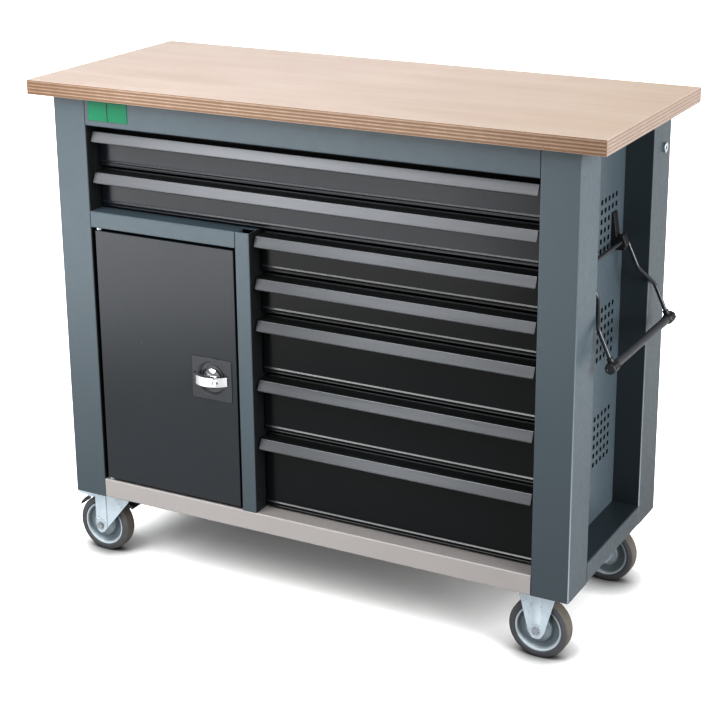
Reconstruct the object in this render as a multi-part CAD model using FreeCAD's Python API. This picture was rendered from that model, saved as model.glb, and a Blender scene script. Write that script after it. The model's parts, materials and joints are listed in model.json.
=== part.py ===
import FreeCAD, Part
import math
import os

V = FreeCAD.Vector
os.makedirs("parts", exist_ok=True)

# ---------------------------------------------------------------- driving dimensions (mm)
# Bench coordinates: x from the left end frame's outer face, y from the posts' front face
# towards the back, z from the worktop's underside (negative is down).
FRAME_W = 1147.0          # end frame to end frame, outside
FRAME_D = 487.0           # front face of posts to rear edge
FRAME_H = 874.5           # underside of worktop to underside of frame
TOP_OVER_X = 51.5         # worktop overhang at each end
TOP_OVER_Y = 17.5         # worktop overhang front and back
TOP_T = 30.0              # worktop thickness
CASTOR_H = 155.0          # overall height of a castor
SHEET = 2.0               # frame sheet
THIN = 1.5                # cabinet sheet
POST_W = 78.0             # front face of a post
POST_D = 97.0             # side face of a post
RECESS = 58.4             # depth of the recess in each end, outer face to perforated panel
REVEAL = 60.0             # return of the post beside the drawers
WALL_Y0 = 24.0            # front edge of the cabinet walls
BOT_RAIL_H = 43.0         # rail at the foot of each end
TOP_RAIL_H = 56.6         # rail under the worktop
BASE_H = 41.7             # light base strip
DIV_X0, DIV_X1 = 426.0, 460.0      # upright between cupboard and drawers
HEADER_TOP, HEADER_BOT = -235.1, -270.1
BASE_TOP = -832.8
WALL_IN_L = POST_W + THIN
WALL_IN_R = FRAME_W - POST_W - THIN
REAR_WALL = 470.0
# drawer fronts: (name, top of handle strip, height, full width?)
DRAWERS = [
    ("1", -70.5, 75.0, True),
    ("2", -156.3, 75.0, True),
    ("3", -243.3, 75.0, False),
    ("4", -330.6, 75.0, False),
    ("5", -417.8, 115.0, False),
    ("6", -545.1, 115.0, False),
    ("7", -672.4, 155.0, False),
]
GAP_L, GAP_R = 3.5, 5.5   # front to left upright, front to right post
PANEL_Y = 38.0            # front panel plane
TRAY_Y1 = 460.0           # rear of tray
SLIDE_T = 12.5            # width taken by one slide
# castors
WHEEL_R = 62.5
WHEEL_W = 32.0
AXLE_Z = -FRAME_H - CASTOR_H + WHEEL_R
CASTOR_X = (78.0, 1069.0)
CASTOR_Y = (60.0, 427.0)
TRAIL = 44.0
BOLT_DY = 32.0            # castor bolts, each side of the castor's middle
# push handle
PIV_X, PIV_Z = 1109.5, -251.6
LEAN = math.radians(25.0)
GRIP_S = 184.0
MID_Y = FRAME_D / 2.0

# how far the lock's bow handle stands out in front of the posts
BOW_OUT = 24.0
# row frame: floor level under the middle of the overall box
OFF = V(-FRAME_W / 2.0, -(FRAME_D + TOP_OVER_Y - BOW_OUT) / 2.0, FRAME_H + CASTOR_H)


# ---------------------------------------------------------------- helpers
def box(x0, x1, y0, y1, z0, z1):
    x0, x1 = sorted((x0, x1))
    y0, y1 = sorted((y0, y1))
    z0, z1 = sorted((z0, z1))
    return Part.makeBox(x1 - x0, y1 - y0, z1 - z0, V(x0, y0, z0))


def cyl(r, p, axis, h):
    return Part.makeCylinder(r, h, V(*p), V(*axis))


def cone(r0, r1, p, axis, h):
    return Part.makeCone(r0, r1, h, V(*p), V(*axis))


def fuse(*shapes):
    s = shapes[0]
    if len(shapes) > 1:
        s = s.multiFuse(list(shapes[1:]))
    return s.removeSplitter()


def round_loop(pts, radii):
    """Closed wire through 2-D points with an arc at each corner that has a radius."""
    n = len(pts)
    ends = []
    for i in range(n):
        p0, p1, p2 = pts[i - 1], pts[i], pts[(i + 1) % n]
        r = radii[i]
        a = (p0[0] - p1[0], p0[1] - p1[1])
        b = (p2[0] - p1[0], p2[1] - p1[1])
        la, lb = math.hypot(*a), math.hypot(*b)
        a = (a[0] / la, a[1] / la)
        b = (b[0] / lb, b[1] / lb)
        if r <= 0:
            ends.append((p1, None, p1))
            continue
        dot = max(-1.0, min(1.0, a[0] * b[0] + a[1] * b[1]))
        ang = math.acos(dot)
        t = r / math.tan(ang / 2.0)
        q0 = (p1[0] + a[0] * t, p1[1] + a[1] * t)
        q1 = (p1[0] + b[0] * t, p1[1] + b[1] * t)
        h = r / math.sin(ang / 2.0)
        bis = (a[0] + b[0], a[1] + b[1])
        lbis = math.hypot(*bis)
        mid = (p1[0] + bis[0] / lbis * (h - r), p1[1] + bis[1] / lbis * (h - r))
        ends.append((q0, mid, q1))
    return ends


def loop_wire(pts, radii, to3):
    ends = round_loop(pts, radii)
    edges = []
    n = len(pts)
    for i in range(n):
        q0, mid, q1 = ends[i]
        if mid is not None:
            edges.append(Part.Arc(to3(*q0), to3(*mid), to3(*q1)).toShape())
        nxt = ends[(i + 1) % n][0]
        if math.hypot(nxt[0] - q1[0], nxt[1] - q1[1]) > 1e-6:
            edges.append(Part.LineSegment(to3(*q1), to3(*nxt)).toShape())
    return Part.Wire(edges)


PLANES = {
    "xy": (lambda w: (lambda a, b: V(a, b, w)), V(0, 0, 1)),
    "xz": (lambda w: (lambda a, b: V(a, w, b)), V(0, 1, 0)),
    "yz": (lambda w: (lambda a, b: V(w, a, b)), V(1, 0, 0)),
}


def prism(plane, pts, w0, w1, radii=None):
    """Extruded polygon: plane xy, xz or yz, from w0 to w1 along the third axis."""
    mk, ax = PLANES[plane]
    w0, w1 = sorted((w0, w1))
    face = Part.Face(loop_wire(pts, radii or [0.0] * len(pts), mk(w0)))
    return face.extrude(ax * (w1 - w0))


def sheet_profile(plane, line, t, side, w0, w1, r=2.5):
    """Folded sheet: open line of outer points, thickness t on one side (+1 left of travel,
    -1 right), bends of outer radius r, extruded from w0 to w1."""
    n = len(line)
    seg = []
    for i in range(n - 1):
        dx, dy = line[i + 1][0] - line[i][0], line[i + 1][1] - line[i][1]
        ln = math.hypot(dx, dy)
        seg.append((dx / ln, dy / ln))
    off = []
    ro, ri = [0.0] * n, [0.0] * n
    for i in range(n):
        if i == 0 or i == n - 1:
            d = seg[0] if i == 0 else seg[-1]
            off.append((line[i][0] - d[1] * side * t, line[i][1] + d[0] * side * t))
            continue
        d0, d1 = seg[i - 1], seg[i]
        n0 = (-d0[1] * side, d0[0] * side)
        n1 = (-d1[1] * side, d1[0] * side)
        c = 1.0 + n0[0] * n1[0] + n0[1] * n1[1]
        off.append((line[i][0] + t * (n0[0] + n1[0]) / c, line[i][1] + t * (n0[1] + n1[1]) / c))
        turn = (d0[0] * d1[1] - d0[1] * d1[0]) * side
        if turn > 0:
            ro[i], ri[i] = r, max(r - t, 0.3)
        else:
            ro[i], ri[i] = max(r - t, 0.3), r
    pts = list(line) + off[::-1]
    return prism(plane, pts, w0, w1, ro + ri[::-1])


def mirror_x(s):
    return s.mirror(V(FRAME_W / 2.0, 0, 0), V(1, 0, 0))


def mirror_y(s):
    return s.mirror(V(0, FRAME_D / 2.0, 0), V(0, 1, 0))


def hex_head(r, p, axis, h):
    """Hexagon head, across-corners radius r, from p along axis."""
    a = V(*axis)
    u = V(0, 0, 1) if abs(a.z) < 0.9 else V(1, 0, 0)
    v = a.cross(u)
    pts = []
    turn = 0 if abs(a.z) > 0.9 else 30
    for i in range(7):
        t = math.radians(60 * i + turn)
        pts.append(V(*p) + u * (r * math.cos(t)) + v * (r * math.sin(t)))
    return Part.Face(Part.makePolygon(pts)).extrude(a * h)


NODES = {}


def node(name, *solids):
    """Registers a node: one or more separate solids, given in bench coordinates."""
    out = []
    for s in solids:
        s = s.copy()
        s.translate(OFF)
        out.extend(s.Solids if s.Solids else [s])
    for s in out:
        if not s.isValid():
            print("not valid:", name)
    shape = out[0] if len(out) == 1 else Part.makeCompound(out)
    NODES[name] = shape


# ---------------------------------------------------------------- worktop
top = box(-TOP_OVER_X, FRAME_W + TOP_OVER_X, -TOP_OVER_Y, FRAME_D + TOP_OVER_Y, 0, TOP_T)
top = top.makeChamfer(1.2, top.Edges)
node("worktop", top)

# ---------------------------------------------------------------- end frames
X_OUT = FRAME_W
X_IN = FRAME_W - POST_W
X_PANEL = FRAME_W - RECESS
Z_BOT = -FRAME_H


def end_frame_right():
    front = sheet_profile(
        "xy",
        [(X_PANEL - 14, POST_D), (X_OUT, POST_D), (X_OUT, 0), (X_IN, 0), (X_IN, REVEAL)],
        SHEET, -1, Z_BOT, 0, 3.0)
    rear = sheet_profile(
        "xy",
        [(X_OUT - 9, FRAME_D), (X_OUT, FRAME_D), (X_OUT, FRAME_D - POST_D),
         (X_IN, FRAME_D - POST_D), (X_IN, FRAME_D)],
        SHEET, -1, Z_BOT, 0, 3.0)
    rail = sheet_profile(
        "xz",
        [(X_OUT - 30, Z_BOT), (X_OUT, Z_BOT), (X_OUT, Z_BOT + BOT_RAIL_H),
         (X_PANEL - 1.5, Z_BOT + BOT_RAIL_H)],
        SHEET, 1, POST_D - 0.5, FRAME_D - POST_D + 0.5, 3.0)
    caps = []
    for y0, y1 in ((SHEET - 0.5, POST_D - SHEET + 0.5), (FRAME_D - POST_D + SHEET - 0.5, FRAME_D - 3)):
        caps.append(box(X_IN + SHEET - 0.5, X_OUT - SHEET + 0.5, y0, y1, -3, 0))
        caps.append(box(X_IN + SHEET - 0.5, X_OUT - SHEET + 0.5, y0, y1, Z_BOT, Z_BOT + 4))
    s = fuse(front, rear, rail, *caps)
    # accessory hole near the top of the rear post's side face
    s = s.cut(cyl(5.0, (X_OUT - 6, FRAME_D - 38.0, -84.7), (1, 0, 0), 10))
    # holes for the castor bolts in the foot plates
    for cy in CASTOR_Y:
        for dy in (-BOLT_DY, BOLT_DY):
            s = s.cut(cyl(4.2, (CASTOR_X[1] + 40, cy + dy, Z_BOT - 1), (0, 0, 1), 8))
    return s


frame_r = end_frame_right()
node("end_frame_right", frame_r)
node("end_frame_left", mirror_x(frame_r))

# ---------------------------------------------------------------- perforated side panels
PERF = 10.0
PITCH = 19.8


def side_panel(x0):
    y0, y1 = POST_D, FRAME_D - POST_D
    z0, z1 = Z_BOT + BOT_RAIL_H, 0.0
    mk = PLANES["yz"][0](x0)
    outer = loop_wire([(y0, z0), (y1, z0), (y1, z1), (y0, z1)], [0] * 4, mk)
    inner = []
    for top_z in (-161.4, -384.0, -607.0):
        for row in range(6):
            for col in range(11):
                yc, zc = 347.3 - col * PITCH, top_z - row * 19.55
                h = PERF / 2.0
                inner.append(loop_wire([(yc - h, zc - h), (yc + h, zc - h), (yc + h, zc + h), (yc - h, zc + h)], [0] * 4, mk))
    face = Part.makeFace([outer] + inner, "Part::FaceMakerBullseye")
    return face.extrude(V(THIN, 0, 0))


panel_r = side_panel(X_PANEL - THIN)
node("side_panels", panel_r, mirror_x(panel_r))

# ---------------------------------------------------------------- rails under the worktop
front_rail = sheet_profile(
    "yz", [(22, -TOP_RAIL_H), (0, -TOP_RAIL_H), (0, 0), (40, 0)], SHEET, -1, POST_W, FRAME_W - POST_W, 3.0)
rear_rail = sheet_profile(
    "yz", [(FRAME_D - 13, -TOP_RAIL_H), (FRAME_D, -TOP_RAIL_H), (FRAME_D, 0), (FRAME_D - 40, 0)],
    SHEET, 1, POST_W, FRAME_W - POST_W, 3.0)
node("top_rails", front_rail, rear_rail)

# ---------------------------------------------------------------- cabinet walls, back, base
wall_l = box(POST_W, WALL_IN_L, WALL_Y0, REAR_WALL, BASE_TOP, -SHEET)
wall_r = mirror_x(wall_l)
back = box(POST_W, FRAME_W - POST_W, REAR_WALL, REAR_WALL + THIN, BASE_TOP, -SHEET)
node("cabinet_walls", wall_l, wall_r, back)


def base_tray():
    x0, x1 = POST_W, FRAME_W - POST_W
    s = sheet_profile(
        "yz",
        [(24, Z_BOT), (0, Z_BOT), (0, BASE_TOP), (FRAME_D, BASE_TOP), (FRAME_D, Z_BOT), (FRAME_D - 24, Z_BOT)],
        SHEET, -1, x0, x1, 2.6)
    parts = [s]
    for a, b in ((x0, x0 + 62), (x1 - 62, x1)):
        for c, d in ((SHEET - 0.5, 112), (FRAME_D - 112, FRAME_D - SHEET + 0.5)):
            parts.append(box(a, b, c, d, Z_BOT, Z_BOT + 4))
    # lengthways stiffener under the floor of the base
    parts.append(box(x0, x1, MID_Y - 1, MID_Y + 1, BASE_TOP - 30, BASE_TOP - 1))
    s = fuse(*parts)
    for cx, sx in ((CASTOR_X[0], 1), (CASTOR_X[1], -1)):
        for cy in CASTOR_Y:
            for dy in (-BOLT_DY, BOLT_DY):
                s = s.cut(cyl(4.2, (cx + sx * 40, cy + dy, Z_BOT - 1), (0, 0, 1), 8))
    return s


node("base_tray", base_tray())


# header over the door with the deck behind it
def header_deck():
    front = sheet_profile(
        "yz",
        [(22, HEADER_BOT), (0, HEADER_BOT), (0, HEADER_TOP), (WALL_Y0, HEADER_TOP)],
        SHEET, -1, POST_W, DIV_X0, 2.6)
    deck = box(WALL_IN_L, DIV_X1 - SHEET, WALL_Y0 - 0.5, REAR_WALL, HEADER_TOP - SHEET, HEADER_TOP)
    deck = deck.cut(box(DIV_X0, DIV_X1 + 1, 0, 30, HEADER_TOP - 5, HEADER_TOP + 5))
    return fuse(front, deck)


upright = sheet_profile(
    "xy",
    [(DIV_X1, REAR_WALL), (DIV_X1, 0), (DIV_X0, 0), (DIV_X0, 29)],
    SHEET, -1, BASE_TOP, HEADER_TOP, 2.6)
node("cupboard_divider", header_deck(), upright)

# shelf in the cupboard, on four studs
SHELF_Z = -556.0
shelf = sheet_profile(
    "yz", [(40, SHELF_Z - 22), (40, SHELF_Z), (REAR_WALL - 6, SHELF_Z), (REAR_WALL - 6, SHELF_Z - 14)],
    THIN, -1, WALL_IN_L + 1.5, DIV_X1 - SHEET - 1.5, 2.0)
small = []
for yy in (80.0, 420.0):
    small.append(cyl(3.0, (WALL_IN_L, yy, SHELF_Z - THIN - 3.0), (1, 0, 0), 14))
    small.append(cyl(3.0, (DIV_X1 - SHEET - 14, yy, SHELF_Z - THIN - 3.0), (1, 0, 0), 14))
node("cupboard_shelf", shelf)

# ---------------------------------------------------------------- drawers
fixed = []


def grip_strip(x0, x1, zt):
    """Slanted grip strip: top plate, raised rear edge, sloping face and a turned lip."""
    line = [(50.0, zt + 3.0), (50.0, zt), (18.0, zt), (9.0, zt - 21.0), (13.4, zt - 23.4)]
    s = sheet_profile("yz", line, 1.8, 1, x0, x1, 2.2)
    # rounded lower corners of the sloping face
    r = 5.0
    for xa, sgn in ((x0, 1), (x1, -1)):
        blk = box(xa - sgn, xa + sgn * r, 2, 17.0, zt - 27, zt - 23.4 + r)
        c = cyl(r, (xa + sgn * r, 0, zt - 23.4 + r), (0, 1, 0), 20)
        s = s.cut(blk.cut(c))
    return s


def tray(x0, x1, zt, h, tx0, tx1):
    zb = zt - h
    y = PANEL_Y
    # front panel with two ridges along its foot and folded ends
    prof = [(y, zt - 1.8), (y, zb + 8.6), (y - 3.4, zb + 7.6), (y - 3.4, zb + 5.6), (y - 1.2, zb + 4.8),
            (y - 1.2, zb + 2.6), (y - 3.4, zb + 1.8), (y - 3.4, zb), (y + 2, zb), (y + 2, zt - 1.8)]
    parts = [prism("yz", prof, x0, x1)]
    for xa in (x0, x1 - THIN):
        parts.append(box(xa, xa + THIN, y + 1, y + 11, zb, zt - 1.8))
    parts.append(box(x0, x1, y + 1, y + 11, zb, zb + THIN))
    fb = zb + 2.0
    wt = zt - 12.0
    parts.append(box(tx0, tx1, y + 1, TRAY_Y1, fb, fb + THIN))
    for xa in (tx0, tx1 - THIN):
        parts.append(box(xa, xa + THIN, y + 1, TRAY_Y1, fb, wt))
    # turned-in top edges of the side and rear walls
    parts.append(box(tx0, tx0 + 9, y + 1, TRAY_Y1, wt - THIN, wt))
    parts.append(box(tx1 - 9, tx1, y + 1, TRAY_Y1, wt - THIN, wt))
    parts.append(box(tx0, tx1, TRAY_Y1 - THIN, TRAY_Y1, fb, wt))
    parts.append(box(tx0, tx1, TRAY_Y1 - 9, TRAY_Y1, wt - THIN, wt))
    # slide members riveted to the side walls
    zc = (fb + wt) / 2.0
    for xa, sgn in ((tx0, -1), (tx1, 1)):
        rail = box(xa, xa + sgn * 7.5, y + 16, TRAY_Y1 - 6, zc - 10, zc + 10)
        rail = rail.cut(box(xa, xa + sgn * 6.2, y + 15, TRAY_Y1, zc - 8.7, zc + 8.7))
        parts.append(rail)
    return fuse(*parts), zc


for name, zt, h, wide in DRAWERS:
    cell0 = POST_W if wide else DIV_X1
    wall0 = WALL_IN_L if wide else DIV_X1
    x0, x1 = cell0 + GAP_L, FRAME_W - POST_W - GAP_R
    tx0, tx1 = wall0 + SLIDE_T, WALL_IN_R - SLIDE_T
    body, zc = tray(x0, x1, zt, h, tx0, tx1)
    node("drawer_%s_tray" % name, body)
    node("drawer_%s_grip_strip" % name, grip_strip(x0, x1, zt))
    mids = []
    for xw, sgn in ((wall0, 1), (WALL_IN_R, -1)):
        # fixed channel on the cabinet wall
        ch = sheet_profile(
            "xz",
            [(xw + sgn * 6.2, zc - 17), (xw, zc - 17), (xw, zc + 17), (xw + sgn * 6.2, zc + 17)],
            1.3, -1 if sgn > 0 else 1, PANEL_Y + 16, REAR_WALL - 4, 1.5)
        fixed.append(ch)
        # middle member that runs between fixed channel and drawer
        mid = sheet_profile(
            "xz",
            [(xw + sgn * 8.9, zc - 14.6), (xw + sgn * 2.0, zc - 14.6), (xw + sgn * 2.0, zc + 14.6), (xw + sgn * 8.9, zc + 14.6)],
            1.3, -1 if sgn > 0 else 1, PANEL_Y + 18, REAR_WALL - 10, 1.5)
        mids.append(mid)
    node("drawer_%s_slides" % name, *mids)

node("slide_channels", *fixed)

# ---------------------------------------------------------------- door
DX0, DX1 = 86.6, 421.4
DZ0, DZ1 = -827.6, -275.3
DY0, DY1 = 1.0, 21.0
HINGE_X, HINGE_Y = 91.6, 10.0
LOCK_X, LOCK_Z = 360.0, -554.0
PLATE_X, PLATE_Z = 362.5, -555.0
PLATE_W, PLATE_H = 95.0, 90.0


def door_panel():
    outer = box(DX0, DX1, DY0, DY1, DZ0, DZ1)
    outer = outer.makeFillet(1.4, [e for e in outer.Edges if abs(e.CenterOfMass.y - DY0) < 0.01])
    inner = box(DX0 + THIN, DX1 - THIN, DY0 + THIN, DY1 + 1, DZ0 + THIN, DZ1 - THIN)
    s = outer.cut(inner)
    # folded-in rear edge
    rim = box(DX0 + 0.5, DX1 - 0.5, DY1 - THIN, DY1, DZ0 + 0.5, DZ1 - 0.5).cut(
        box(DX0 + 16, DX1 - 14, DY1 - 3, DY1 + 1, DZ0 + 14, DZ1 - 14))
    # stiffener behind the face
    hat = box(200, 230, DY0 + THIN - 0.3, DY1 - 0.2, DZ0 + 1, DZ1 - 1).cut(
        box(201.2, 228.8, DY0, DY1 - 1.4, DZ0, DZ1))
    s = fuse(s, rim, hat)
    # cut-out for the lock body
    s = s.cut(box(PLATE_X - 41, PLATE_X + 41, DY0 - 1, DY0 + 3, PLATE_Z - 40.5, PLATE_Z + 40.5))
    # pin holes
    s = s.cut(cyl(3.05, (HINGE_X, HINGE_Y, DZ0 - 5), (0, 0, 1), 20))
    s = s.cut(cyl(3.05, (HINGE_X, HINGE_Y, DZ1 - 15), (0, 0, 1), 20))
    return s


node("door_panel", door_panel())

pins = []
for z_from, sgn, edge in ((HEADER_BOT, -1, DZ1), (BASE_TOP, 1, DZ0)):
    gap = abs(edge - z_from)
    pin = cyl(3.0, (HINGE_X, HINGE_Y, z_from), (0, 0, sgn), gap + 10)
    washer = cyl(6.5, (HINGE_X, HINGE_Y, z_from), (0, 0, sgn), gap - 0.4)
    pins.append(fuse(pin, washer))
node("door_hinge_pins", *pins)

# lock plate with a round dish
PY0 = -1.2


def lock_plate():
    x0, x1 = PLATE_X - PLATE_W / 2, PLATE_X + PLATE_W / 2
    p = box(x0, x1, PY0, DY0, PLATE_Z - PLATE_H / 2, PLATE_Z + PLATE_H / 2)
    p = p.makeFillet(5.0, [e for e in p.Edges if abs(e.Length - (DY0 - PY0)) < 0.01])
    p = p.makeChamfer(0.8, [e for e in p.Edges if abs(e.CenterOfMass.y - PY0) < 0.01])
    b = box(PLATE_X - 40.6, PLATE_X + 40.6, DY0 - 0.2, 14.0, PLATE_Z - 40.1, PLATE_Z + 40.1)
    s = fuse(p, b)
    s = s.cut(cone(36.0, 32.0, (LOCK_X, PY0 - 0.01, LOCK_Z), (0, 1, 0), 9.0))
    # low ring round the hub
    ring = cyl(27.0, (LOCK_X, 7.9, LOCK_Z), (0, -1, 0), 2.6).cut(cyl(24.5, (LOCK_X, 9, LOCK_Z), (0, -1, 0), 6))
    s = fuse(s, ring)
    s = s.cut(cyl(6.05, (LOCK_X, -5, LOCK_Z), (0, 1, 0), 40))
    return s


node("lock_plate", lock_plate())


# turning bow handle: domed hub in the dish, cross bar, arched strap, spindle
def bow_handle():
    ang = math.asin(20.0 / 30.0)
    q = lambda t: V(LOCK_X + 30.0 * math.sin(t), 24.6 - 30.0 * math.cos(t), LOCK_Z)
    prof = Part.Wire([
        Part.LineSegment(V(LOCK_X, 7.2, LOCK_Z), V(LOCK_X + 20.0, 7.2, LOCK_Z)).toShape(),
        Part.LineSegment(V(LOCK_X + 20.0, 7.2, LOCK_Z), q(ang)).toShape(),
        Part.Arc(q(ang), q(ang / 2), q(0)).toShape(),
        Part.LineSegment(q(0), V(LOCK_X, 7.2, LOCK_Z)).toShape()])
    hub = Part.Face(prof).revolve(V(LOCK_X, 0, LOCK_Z), V(0, 1, 0), 360)
    bar = box(LOCK_X - 38.5, LOCK_X + 38.5, -5.4, -2.2, LOCK_Z - 7.0, LOCK_Z + 7.0)
    spindle = cyl(6.0, (LOCK_X, 7.0, LOCK_Z), (0, 1, 0), 9.0)
    y_end = -3.0
    hw, rise, t = 40.5, BOW_OUT + y_end, 3.2
    ro = (hw * hw + rise * rise) / (2 * rise)
    cy = y_end - rise + ro
    outer = cyl(ro, (LOCK_X, cy, LOCK_Z - 10), (0, 0, 1), 20)
    inner = cyl(ro - t, (LOCK_X, cy, LOCK_Z - 10), (0, 0, 1), 20)
    bow = outer.cut(inner).common(
        box(LOCK_X - hw, LOCK_X + hw, y_end - rise - 1, y_end, LOCK_Z - 10, LOCK_Z + 10))
    barrel = cyl(8.6, (LOCK_X + 18, -4.0, LOCK_Z), (0, -1, 0), 18.2)
    s = hub.multiFuse([bar, spindle, bow, barrel])
    return s.cut(cyl(6.55, (LOCK_X + 18, -40, LOCK_Z), (0, 1, 0), 32.0))


node("lock_bow_handle", bow_handle())

plug = cyl(6.5, (LOCK_X + 18, -8.4, LOCK_Z), (0, -1, 0), 14.4)
plug = plug.cut(box(LOCK_X + 18 - 0.9, LOCK_X + 18 + 0.9, -30, -20, LOCK_Z - 4.0, LOCK_Z + 4.0))
node("lock_key_plug", plug)

cam = fuse(
    cyl(9.0, (LOCK_X, 16.0, LOCK_Z), (0, 1, 0), 2.5),
    box(LOCK_X, LOCK_X + 42, 16.0, 18.5, LOCK_Z - 8, LOCK_Z + 8),
)
node("lock_cam", cam)

# ---------------------------------------------------------------- plain green tiles on the top rail
tiles = []
for a, b in ((87.3, 133.6), (135.4, 182.2)):
    t = box(a, b, -1.2, 0, -44.0, -4.0)
    tiles.append(t.makeChamfer(0.5, [e for e in t.Edges if abs(e.CenterOfMass.y + 1.2) < 0.01]))
node("label_tiles", *tiles)

# ---------------------------------------------------------------- push handle on the right end
DIRX, DIRZ = math.sin(LEAN), -math.cos(LEAN)


def on_handle(s, h):
    return V(PIV_X + s * DIRX, MID_Y + h, PIV_Z + s * DIRZ)


def bent_rod(pts, radii, r):
    """Round rod along straight runs joined by tangent arcs."""
    edges = []
    prev = pts[0]
    for i in range(1, len(pts) - 1):
        p, a, b = pts[i], (pts[i - 1] - pts[i]).normalize(), (pts[i + 1] - pts[i]).normalize()
        ang = a.getAngle(b)
        t = radii[i - 1] / math.tan(ang / 2.0)
        q0, q1 = p + a * t, p + b * t
        bis = (a + b).normalize()
        mid = p + bis * (radii[i - 1] / math.sin(ang / 2.0) - radii[i - 1])
        edges.append(Part.LineSegment(prev, q0).toShape())
        edges.append(Part.Arc(q0, mid, q1).toShape())
        prev = q1
    edges.append(Part.LineSegment(prev, pts[-1]).toShape())
    path = Part.Wire(edges)
    d = (pts[1] - pts[0]).normalize()
    ring = Part.Wire([Part.Circle(pts[0], d, r).toShape()])
    sweep = Part.BRepOffsetAPI.MakePipeShell(path)
    sweep.setTransitionMode(0)
    sweep.add(ring, False, False)
    assert sweep.isReady()
    sweep.build()
    sweep.makeSolid()
    s = sweep.shape()
    print("rod volume", round(s.Volume), "section times length", round(math.pi * r * r * path.Length))
    return s


ROD_R = 4.0
H0, H1 = 110.0, 157.0
rod_pts = [on_handle(GRIP_S, H1), on_handle(109, H1), on_handle(62, H0), on_handle(0, H0),
           on_handle(0, -H0), on_handle(62, -H0), on_handle(109, -H1), on_handle(GRIP_S, -H1)]
rod = bent_rod(rod_pts, [22, 22, 8, 8, 22, 22], ROD_R)
CAP_R = 11.2
caps = []
for sgn in (1, -1):
    base = on_handle(GRIP_S, sgn * 146.0)
    a = V(0, sgn, 0)
    u = V(DIRX, 0, DIRZ)
    v = a.cross(u)
    ring = []
    for i in range(9):
        t = math.radians(45 * i + 22.5)
        ring.append(base + u * (CAP_R * math.cos(t)) + v * (CAP_R * math.sin(t)))
    capb = Part.Face(Part.makePolygon(ring)).extrude(a * 28.0)
    ends = [e for e in capb.Edges if abs(abs(e.CenterOfMass.y - base.y) - 28.0) < 0.01 or abs(e.CenterOfMass.y - base.y) < 0.01]
    capb = capb.makeChamfer(1.6, ends)
    # socket for the arm
    sock = Part.makeCylinder(6.4, 9.0, on_handle(GRIP_S - 17.5, sgn * H1), V(DIRX, 0, DIRZ))
    capb = capb.fuse(sock).removeSplitter()
    caps.append(capb.cut(rod))
node("push_handle_rod", rod)
grip = Part.makeCylinder(8.0, 292.0, on_handle(GRIP_S, -146.0), V(0, 1, 0))
node("push_handle_grip", grip)
node("push_handle_end_caps", *caps)


def handle_bracket(y0, y1):
    prof = [(X_PANEL, -194.0), (X_PANEL + 4, -194.0), (X_PANEL + 10.2, -238.0), (X_PANEL + 13.2, -243.6),
            (X_PANEL + 16.6, -237.8), (X_PANEL + 24.0, -236.6), (X_PANEL + 31.0, -256.0),
            (X_PANEL + 27.0, -268.0), (X_PANEL, -268.0)]
    jaw = prism("xz", prof, y0, y1, [0, 1.5, 2, 1.5, 2, 3.5, 5, 3, 0])
    return jaw.cut(cyl(ROD_R + 0.06, (PIV_X, y0 - 20, PIV_Z), (0, 1, 0), (y1 - y0) + 40))


node("handle_brackets",
     handle_bracket(MID_Y + 78.5, MID_Y + 100.5),
     handle_bracket(MID_Y - 100.5, MID_Y - 78.5))


# ---------------------------------------------------------------- castors
def revolve_y(pts, cx, cy, cz, radii=None):
    """Turns a profile of (y offset, radius) points about the Y axis line through the centre."""
    mk = lambda a, b: V(cx, cy + a, cz + b)
    w = loop_wire(pts, radii or [0] * len(pts), mk)
    return Part.Face(w).revolve(V(cx, cy, cz), V(0, 1, 0), 360)


def wheel(cx, cy):
    hw = WHEEL_W / 2.0
    rim = revolve_y(
        [(-21.6, 5.05), (-21.6, 13.0), (-17.5, 15.0), (-15.0, 27.0), (-6.0, 30.0), (-6.0, 42.0), (-14.6, 44.6),
         (-14.6, 48.4), (14.6, 48.4), (14.6, 44.6), (6.0, 42.0), (6.0, 30.0), (15.0, 27.0), (17.5, 15.0),
         (21.6, 13.0), (21.6, 5.05)],
        cx, cy, AXLE_Z, [0, 1, 1, 2, 2, 2, 0.8, 0.5, 0.5, 0.8, 2, 2, 2, 1, 1, 0])
    tyre = revolve_y(
        [(-14.6, 48.4), (-hw, 49.4), (-hw, 56.0), (-11.5, WHEEL_R), (11.5, WHEEL_R), (hw, 56.0), (hw, 49.4), (14.6, 48.4)],
        cx, cy, AXLE_Z, [0, 0.5, 3.5, 4, 4, 3.5, 0.5, 0])
    return rim, tyre


LEG0, LEG1 = -25.0, -22.0      # outer and inner face of a leg, from the wheel's centre plane
PL_X, PL_Y = 52.5, 42.5
P_TOP = Z_BOT
P_BOT = Z_BOT - 3.0


def bolt_holes(s, cx, cy, z0, h):
    for dx in (-40, 40):
        for dy in (-BOLT_DY, BOLT_DY):
            s = s.cut(cyl(4.2, (cx + dx, cy + dy, z0), (0, 0, 1), h))
    return s


def top_plate(cx, cy):
    p = box(cx - PL_X, cx + PL_X, cy - PL_Y, cy + PL_Y, P_BOT, P_TOP)
    p = p.makeFillet(8.0, [e for e in p.Edges if abs(e.Length - 3.0) < 0.01])
    return bolt_holes(p, cx, cy, P_BOT - 1, 6)


def leg(cx, cy, outline, radii, ya, yb):
    return prism("xz", [(cx + a, b) for a, b in outline], cy + ya, cy + yb, radii)


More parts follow.
